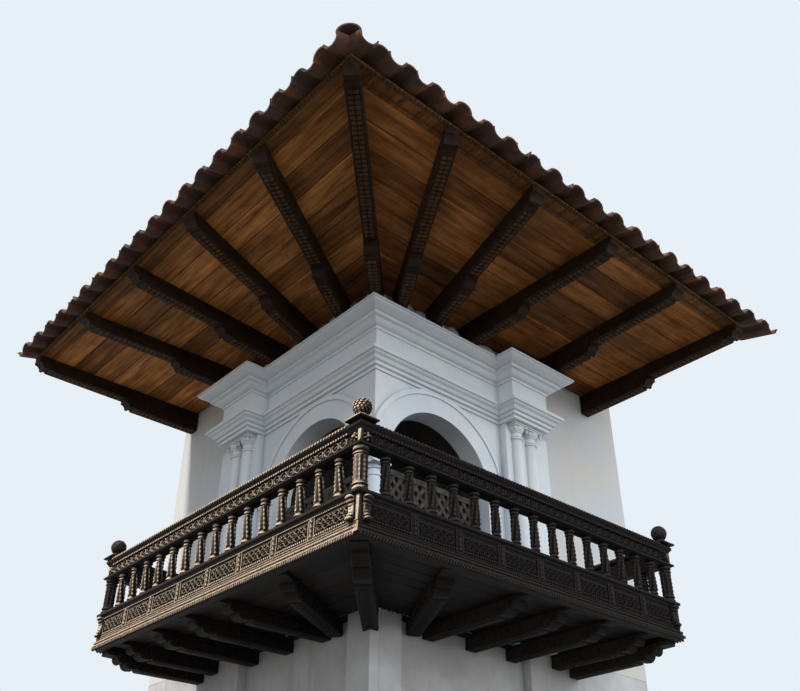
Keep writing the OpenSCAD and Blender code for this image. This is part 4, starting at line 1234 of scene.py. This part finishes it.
def carved_turning(name, height, outline, carved, ridges, twist, depth, sides, loops):
    """Turned to an outline of (share of height, radius), with ridges between the carved shares."""
    bpy.ops.mesh.primitive_cylinder_add(vertices=sides, radius=1.0, depth=2.0, end_fill_type="NGON")
    piece = bpy.context.object
    piece.name = name
    lay_loops(piece, loops)
    shares, radii = zip(*outline)
    sunk = []
    for vertex in piece.data.vertices:
        share = (vertex.co.z + 1.0) / 2.0
        radius = float(np.interp(share, shares, radii))
        angle = math.atan2(vertex.co.y, vertex.co.x)
        sunk.append(0.0)
        if carved[0] < share < carved[1]:
            ridge_height = min(1.0, max(0.0, 0.45 + 1.1 * math.cos(ridges * angle)))
            leaf = 0.5 + 0.5 * math.cos(2.0 * math.pi * leaves_up_shaft * share)
            radius += depth * (ridge_height * (0.65 + 0.5 * leaf) - 0.75)
            sunk[-1] = 1.0 - min(1.0, ridge_height * (0.55 + 0.6 * leaf))
        turned = angle + twist * share
        vertex.co = (radius * math.cos(turned), radius * math.sin(turned), share * height)
    write_sunk(piece, sunk)
    return piece


# %% [markdown]
# Fifteen balusters stand between the posts on each street, and four on each return. On the front and
# the left return they wind one way, and on the other two runs the other way.

# %% Baluster rows
def baluster_row(run, start, stop, count):
    """Balusters at equal steps between two places on a run's middle line."""
    twist = -1.3 if run in ("front", "left_return") else 1.3
    shaft = carved_turning("baluster", baluster_height, baluster_outline, (0.18, 0.785), 5, twist,
                           0.013, 48, 58)
    shaft.data.transform(Matrix.Translation((0.0, middle_in, rail_top)))
    step = (stop - start) / (count + 1)
    row = repeat_on(shaft, run, start + step, step, count, run + "_balusters")
    bpy.data.objects.remove(shaft)
    return row


for run, finish in (("front", sunlit_carving), ("side", shaded_carving)):
    street_row = baluster_row(run, middle_in, runs[run][2] - middle_in, 15)
    hand_over(street_row, finish, "carved_wood", "balusters_" + run, smooth=45)
returns = join([baluster_row("left_return", 0.0, front_out - middle_in, 4),
                baluster_row("right_return", middle_in, side_out, 4)], "return_balusters")
hand_over(returns, shaded_carving, "carved_wood", "balusters_returns", smooth=45)

# %% [markdown]
# The corner post's finial is a pine cone: rows of scales round a core, each row set over the gaps of
# the row below. The end posts carry balls with a net of raised lines.

# %% Finials
def pine_cone(radius, rows, around):
    core = scaled_ball((radius * 0.84, radius * 0.84, radius * 0.94), (0.0, 0.0, 0.0), 20, 12)
    scale = scaled_ball((0.21 * radius, 0.17 * radius, 0.085 * radius), (0.0, 0.0, 0.0), 7, 5)
    places = []
    for row in range(rows):
        tilt = math.pi * (0.10 + 0.78 * row / (rows - 1))
        count = max(4, round(around * math.sin(tilt)))
        for step in range(count):
            turn = 2.0 * math.pi * (step + 0.5 * (row % 2)) / count
            places.append(Matrix.Rotation(turn, 4, "Z") @ Matrix.Rotation(tilt, 4, "Y")
                          @ Matrix.Translation((0.0, 0.0, radius * 0.90)) @ Matrix.Rotation(-0.55, 4, "Y"))
    return join([core, lay_copies(scale, places, "scales")], "pine_cone")


def netted_ball(radius, lines):
    bpy.ops.mesh.primitive_uv_sphere_add(segments=64, ring_count=32, radius=radius)
    ball = bpy.context.object
    for vertex in ball.data.vertices:
        around = math.atan2(vertex.co.y, vertex.co.x)
        up = math.asin(max(-1.0, min(1.0, vertex.co.z / radius)))
        net = max(abs(math.cos(lines * (around + up) / 2.0)), abs(math.cos(lines * (around - up) / 2.0)))
        vertex.co *= 0.93 + 0.08 * net ** 6
    return ball


# %% [markdown]
# Below its finial each post has stacked plates over the rail, and between the rails a shaft with
# upright fillets.

# %% Posts
finial_low = cap_high + 0.064
post_outline = [(0.0, 0.070), (0.075, 0.070), (0.085, 0.054), (0.12, 0.054), (0.13, 0.068), (0.17, 0.068),
                (0.18, 0.052), (0.20, 0.060), (0.80, 0.060), (0.82, 0.052), (0.83, 0.068), (0.87, 0.068),
                (0.88, 0.054), (0.915, 0.054), (0.925, 0.070), (1.0, 0.070)]


def plate(half, low, high):
    """A square plate round the post's axis."""
    return block((-half, -half, cap_high + low), (half, half, cap_high + high), 0.006)


def post(finial):
    """Shaft, plates and collar on the post's axis, under a finial made round the origin."""
    shaft = carved_turning("shaft", baluster_height, post_outline, (0.20, 0.80), 8, 0.0, 0.010, 32, 50)
    shaft.data.transform(Matrix.Translation((0.0, 0.0, rail_top)))
    finial.data.transform(Matrix.Translation((0.0, 0.0, finial_low + 0.079)))
    collar = carved_turning("collar", 0.040, [(0.0, 0.066), (0.4, 0.072), (0.6, 0.058), (1.0, 0.048)],
                            (0.0, 0.5), 10, 0.0, 0.008, 40, 4)
    collar.data.transform(Matrix.Translation((0.0, 0.0, finial_low - 0.034)))
    return join([shaft, plate(0.112, -0.002, 0.018), plate(0.085, 0.018, 0.034), collar, finial], "post")


corner_work = post(pine_cone(0.086, 9, 13))
corner_work.data.transform(Matrix.Translation((side_out - middle_in, middle_in - front_out, 0.0)))
hand_over(corner_work, sunlit_carving, "carved_wood", "corner_post", smooth=40)
end_places = [Matrix.Translation((left_end + middle_in, middle_in - front_out, 0.0)),
              Matrix.Translation((side_out - middle_in, right_end - middle_in, 0.0))]
end_work = lay_copies(post(netted_ball(0.088, 9.0)), end_places, "end_post_work")
hand_over(end_work, shaded_carving, "carved_wood", "end_posts", smooth=40)

# %% [markdown]
# At each corner of the parapet an upright fillet stands between two leaf brackets, curled leaves one
# over another along an S, and between two round bosses in the band above.

# %% Corner brackets and bosses
def leaf_bracket(low, high, width, out):
    """Leaves that curl one over another along an S, on a flat back."""
    leaves = 7
    made = [block((-width * 0.36, -out * 0.55, low), (width * 0.36, 0.004, high), 0.008)]
    for step in range(leaves):
        share = (step + 0.5) / leaves
        reach = out * (0.60 + 0.34 * math.cos(share * 5.2 + 0.5))
        size = (width * (0.42 + 0.08 * math.cos(share * 5.2)), 0.024, (high - low) / leaves * 0.62)
        place = (0.0, -reach, high - (high - low) * share)
        made.append(scaled_ball(size, place, 12, 7, (-0.5, 0.0, 0.0)))
    return join(made, "leaf_bracket")


def boss(radius, height):
    """Six petals round a knob."""
    centre = scaled_ball((radius * 0.42, 0.026, radius * 0.42), (0.0, -0.020, height), 12, 6)
    petal = scaled_ball((radius * 0.26, 0.020, radius * 0.44), (0.0, -0.008, radius * 0.58), 8, 5)
    turns = [Matrix.Translation((0.0, 0.0, height)) @ Matrix.Rotation(math.pi * step / 3.0, 4, "Y")
             for step in range(6)]
    return join([centre, lay_copies(petal, turns, "petals")], "boss")


bracket_at, fillet_half = 0.064, 0.020
corner_pieces, side_corner_pieces = [], []
for run, starts in (("front", True), ("side", True), ("front", False), ("side", False),
                    ("left_return", False), ("right_return", True)):
    at = bracket_at if starts else runs[run][2] - bracket_at
    at_corner = run == "front" or (run == "side" and starts)
    for template in (leaf_bracket(panel_low - 0.016, panel_high + 0.006, 0.100, 0.066),
                     boss(0.050, (band_low + band_high) / 2)):
        (corner_pieces if at_corner else side_corner_pieces).append(
            repeat_on(template, run, at, 0.0, 1, template.name))
        bpy.data.objects.remove(template)
for x, y in ((side_out, -front_out), (left_end, -front_out), (side_out, right_end)):
    for low, high in ((panel_low - 0.02, panel_high + 0.01), (band_low - 0.01, band_high + 0.012)):
        corner_pieces.append(block((x - fillet_half, y - fillet_half, low),
                                   (x + fillet_half, y + fillet_half, high), 0.006))
hand_over(join(corner_pieces, "corner_brackets"), sunlit_carving, "carved_wood", smooth=40)
hand_over(join(side_corner_pieces, "side_corner_brackets"), shaded_carving, "carved_wood", smooth=40)

# %% [markdown]
# Rows of small beads run along the foot mouldings, one on each fascia, over the rope.

# %% Beaded lines
for run in runs:
    bead_lines = []
    for height, out, size in ((0.026, 0.047, 0.011), (0.068, 0.031, 0.009), (0.104, 0.015, 0.008),
                              (0.127, 0.017, 0.008)):
        small = scaled_ball((size, size * 0.8, size), (0.0, -out, foot_level + height), 6, 4)
        pitch = size * 2.3
        bead_lines.append(repeat_on(small, run, 0.0, pitch, int(runs[run][2] / pitch), "bead_line"))
        bpy.data.objects.remove(small)
    finish = sunlit_carving if run == "front" else shaded_carving
    hand_over(join(bead_lines, run + "_foot_beads"), finish, "carved_wood", smooth=60)

# %% [markdown]
# The corbels are carved on their sides and undersides: a ring and an eye on each lobe, a fillet
# along the beam and a row of leaves below it. The work is modelled on one corbel that points along
# +X and laid on each of them by its two ends in plan.

# %% Corbel carving
corbel_wide, corbel_deep = 0.150, 0.155
leaf_pitch, knob_pitch = 0.085, 0.058
front_reach, side_reach = 1.250, 1.350
front_last, side_last = 3.105, 3.040
front_first, side_first, last_pitch, fan_at = 0.840, 0.860, 0.305, 0.590
fan_front_end, fan_side_end = 0.21975, -0.20475
corbel_lines = []
for step in range(4):
    x = front_first + (front_last - last_pitch - front_first) * step / 3
    y = side_first + (side_last - last_pitch - side_first) * step / 3
    corbel_lines.append((((-x, 0.0), (-x, -front_reach)), deck_level))
    corbel_lines.append((((0.0, y), (side_reach, y)), deck_level))
corbel_lines.append((((-front_last, 0.0), (-front_last, -front_reach)), foot_level))
corbel_lines.append((((0.0, side_last), (side_reach, side_last)), foot_level))
corbel_lines.append((((-fan_at, 0.0), (fan_front_end, -front_reach)), deck_level))
corbel_lines.append((((0.0, fan_at), (side_reach, fan_side_end)), deck_level))
hip_line = ((0.0, 0.0), (side_reach, -front_reach))


def arc(centre, radius, start, stop, steps):
    """Points on an arc, from one angle to another in degrees."""
    angles = [math.radians(start + (stop - start) * step / steps) for step in range(steps + 1)]
    return [(centre[0] + radius * math.cos(angle), centre[1] + radius * math.sin(angle))
            for angle in angles]


def corbel_outline(length, deep):
    """From inside the wall's recess along the flat underside to two lobes and a thin tail."""
    flat = length * 0.68
    points = [(-recess, 0.0), (-recess, -deep), (flat - deep * 0.14, -deep)]
    points += arc((flat, -deep), deep * 0.13, 160.0, 20.0, 4)
    points += arc((flat + deep * 0.52, -deep * 0.52), deep * 0.48, 258.0, 372.0, 9)
    points += arc((flat + deep * 1.28, -deep * 0.36), deep * 0.35, 200.0, 370.0, 8)
    points += [(length - 0.020, -deep * 0.28), (length - 0.020, 0.0)]
    return points


def corbel_work(length, deep):
    """One corbel along +X, with its top at z = 0 and its carving on both sides and below."""
    flat = length * 0.68
    made = [outline_solid("corbel", corbel_outline(length, deep), corbel_wide, 0.006)]
    lobes = ((flat + deep * 0.45, -deep * 0.5, deep * 0.36), (flat + deep * 1.25, -deep * 0.36, deep * 0.25))
    for face in (-corbel_wide / 2, corbel_wide / 2):
        for x, z, radius in lobes:
            bpy.ops.mesh.primitive_torus_add(major_segments=20, minor_segments=5, major_radius=radius,
                                             minor_radius=0.009, location=(x, face, z),
                                             rotation=(math.pi / 2, 0, 0))
            made.append(bpy.context.object)
            apply_transforms(made[-1])
            made.append(scaled_ball((radius * 0.35, 0.012, radius * 0.35), (x, face, z), 10, 5))
        for z in (-deep * 0.88, -deep * 0.12):
            made.append(block((-0.10, face - 0.006, z - 0.008),
                              (flat - deep * 0.2, face + 0.006, z + 0.008), 0.003))
        leaf = scaled_ball((0.052, 0.010, 0.016), (0.0, face, 0.0), 8, 5, (0.0, 0.6, 0.0))
        steps = int((flat - 0.25) / leaf_pitch)
        places = [Matrix.Translation((0.14 + leaf_pitch * step, 0.0, -deep * 0.5))
                  @ Matrix.Rotation(1.2 * (step % 2), 4, "Y") for step in range(steps)]
        made.append(lay_copies(leaf, places, "leaves"))
    knob = scaled_ball((0.024, 0.050, 0.010), (0.0, 0.0, -deep), 8, 5)
    steps = int((flat - 0.12) / knob_pitch)
    places = [Matrix.Translation((0.10 + knob_pitch * step, 0.0, 0.0)) for step in range(steps)]
    made.append(lay_copies(knob, places, "knobs"))
    return join(made, "corbel_work")


def corbel_on_line(line, level, deep):
    """A corbel as long as its line in plan, laid on it from the wall outwards."""
    (x0, y0), (x1, y1) = line
    piece = corbel_work(math.dist(*line), deep)
    turn = Matrix.Rotation(math.atan2(y1 - y0, x1 - x0), 4, "Z")
    piece.data.transform(Matrix.Translation((x0, y0, level)) @ turn)
    return piece


works = [corbel_on_line(line, level, corbel_deep) for line, level in corbel_lines]
works.append(corbel_on_line(hip_line, deck_level, corbel_deep * 1.5))
hand_over(join(works, "carved_corbels"), rail_wood, "carved_wood", "corbels_front", "corbels_side",
          "hip_corbel", smooth=40)

# %% [markdown]
# The deck is laid with boards along each street, mitred over the hip corbel. Seen from below they
# show between the corbels, and a strip of boarding closes the recess over the walls.

# %% Deck boards
deck_short, fill_thick = 0.030, 0.015


def deck_rows(reach, long_end, mitre_share, rows):
    """Boards along +X in the front's place: from the corner's diagonal back to the far end."""
    made = []
    for row in range(rows):
        near, far = row * reach / rows + 0.002, (row + 1) * reach / rows - 0.002
        ends = [(long_end, near * mitre_share, -near), (long_end, far * mitre_share, -far)]
        made.append(slanted_board(ends, deck_level - 0.004 + dice.normal(0.0, 0.001), deck_level + 0.038))
    joined = join(made, "deck_rows")
    give_tone(joined, len(joined.data.vertices) // rows)
    return joined


front_deck = deck_rows(front_reach, deck_short - front_last, side_reach / front_reach, 8)
side_deck = deck_rows(side_reach, deck_short - side_last, front_reach / side_reach, 8)
side_deck.data.transform(swap_streets)
side_deck.data.flip_normals()
fill_top = under_deck - 0.001
front_fill = block((-end_pilaster_at, -0.004, fill_top - fill_thick), (-corner_front_wide, recess, fill_top))
side_fill = block((-recess, corner_side_wide, fill_top - fill_thick), (0.004, end_pilaster_at, fill_top))
deck_boards = join([front_deck, side_deck, front_fill, side_fill], "deck_boards")
hand_over(deck_boards, deck_wood, "board_wood", "deck")

# %% [markdown]
# Between the rafters the wall is made good with lumps of plaster, pushed in by hand and rounded off.
# Each is a ball drawn out to its bay's width and swollen by a slow wave of its own.

# %% Plaster lumps between the rafters
lump_level, lump_pitch, lump_deep, lump_high = 8.085, 0.32, 0.070, 0.125


def lump(place, size):
    bpy.ops.mesh.primitive_ico_sphere_add(subdivisions=3, radius=1.0)
    piece = bpy.context.object
    shift = Vector(dice.uniform(-9.0, 9.0, 3))
    for vertex in piece.data.vertices:
        swell = 1.0 + 0.16 * math.sin(3.1 * vertex.co.x + shift.x) * math.sin(2.7 * vertex.co.z + shift.y)
        vertex.co = Vector((vertex.co.x * size[0], vertex.co.y * size[1], vertex.co.z * size[2])) * swell
    piece.data.transform(Matrix.Translation(place))
    return piece


lumps = []
for rafters, on_front in ((front_rafters, True), (side_rafters, False)):
    bay_ends = sorted([0.0, *[inner for _, inner in rafters]])
    for low, high in zip(bay_ends[:-1], bay_ends[1:]):
        count = max(2, round((high - low) / lump_pitch))
        half = (high - low) / count * 0.55
        for step in range(count):
            along = low + (high - low) * (step + 0.5) / count
            level = lump_level + dice.normal(0.0, 0.012)
            if on_front:
                lumps.append(lump((along, -0.015, level), (half, lump_deep, lump_high)))
            else:
                lumps.append(lump((0.015, along, level), (lump_deep, half, lump_high)))
hand_over(join(lumps, "plaster_lumps"), wall_plaster, "plaster", smooth=80)

# %% [markdown]
# A row of small blocks closes the eave's edge below the tiles, with two thin fillets behind it.

# %% Eave edge blocks
edge_block_pitch = 0.048
edge_pieces = []
for start, angle, length in (((-front_length, -eave_front_out), 0.0, front_length + eave_side_out),
                             ((eave_side_out, -eave_front_out), math.pi / 2, side_length + eave_front_out)):
    small = block((0.0, -0.004, board_level - 0.014), (0.030, 0.022, board_level + 0.012), 0.003)
    repeat_along(small, (edge_block_pitch, 0.0, 0.0), int(length / edge_block_pitch))
    parts = [small, block((0.0, 0.030, board_level - 0.006), (length, 0.042, board_level + 0.012), 0.003),
             block((0.0, 0.150, board_level - 0.006), (length, 0.164, board_level + 0.010), 0.003)]
    strip = join(parts, "eave_strip")
    strip.data.transform(Matrix.Translation((*start, 0.0)) @ Matrix.Rotation(angle, 4, "Z"))
    edge_pieces.append(strip)
hand_over(join(edge_pieces, "eave_edge_blocks"), strip_wood, "board_wood")

# %% [markdown]
# At the end, the selection is cleared.

# %% Finish
clear_selection()
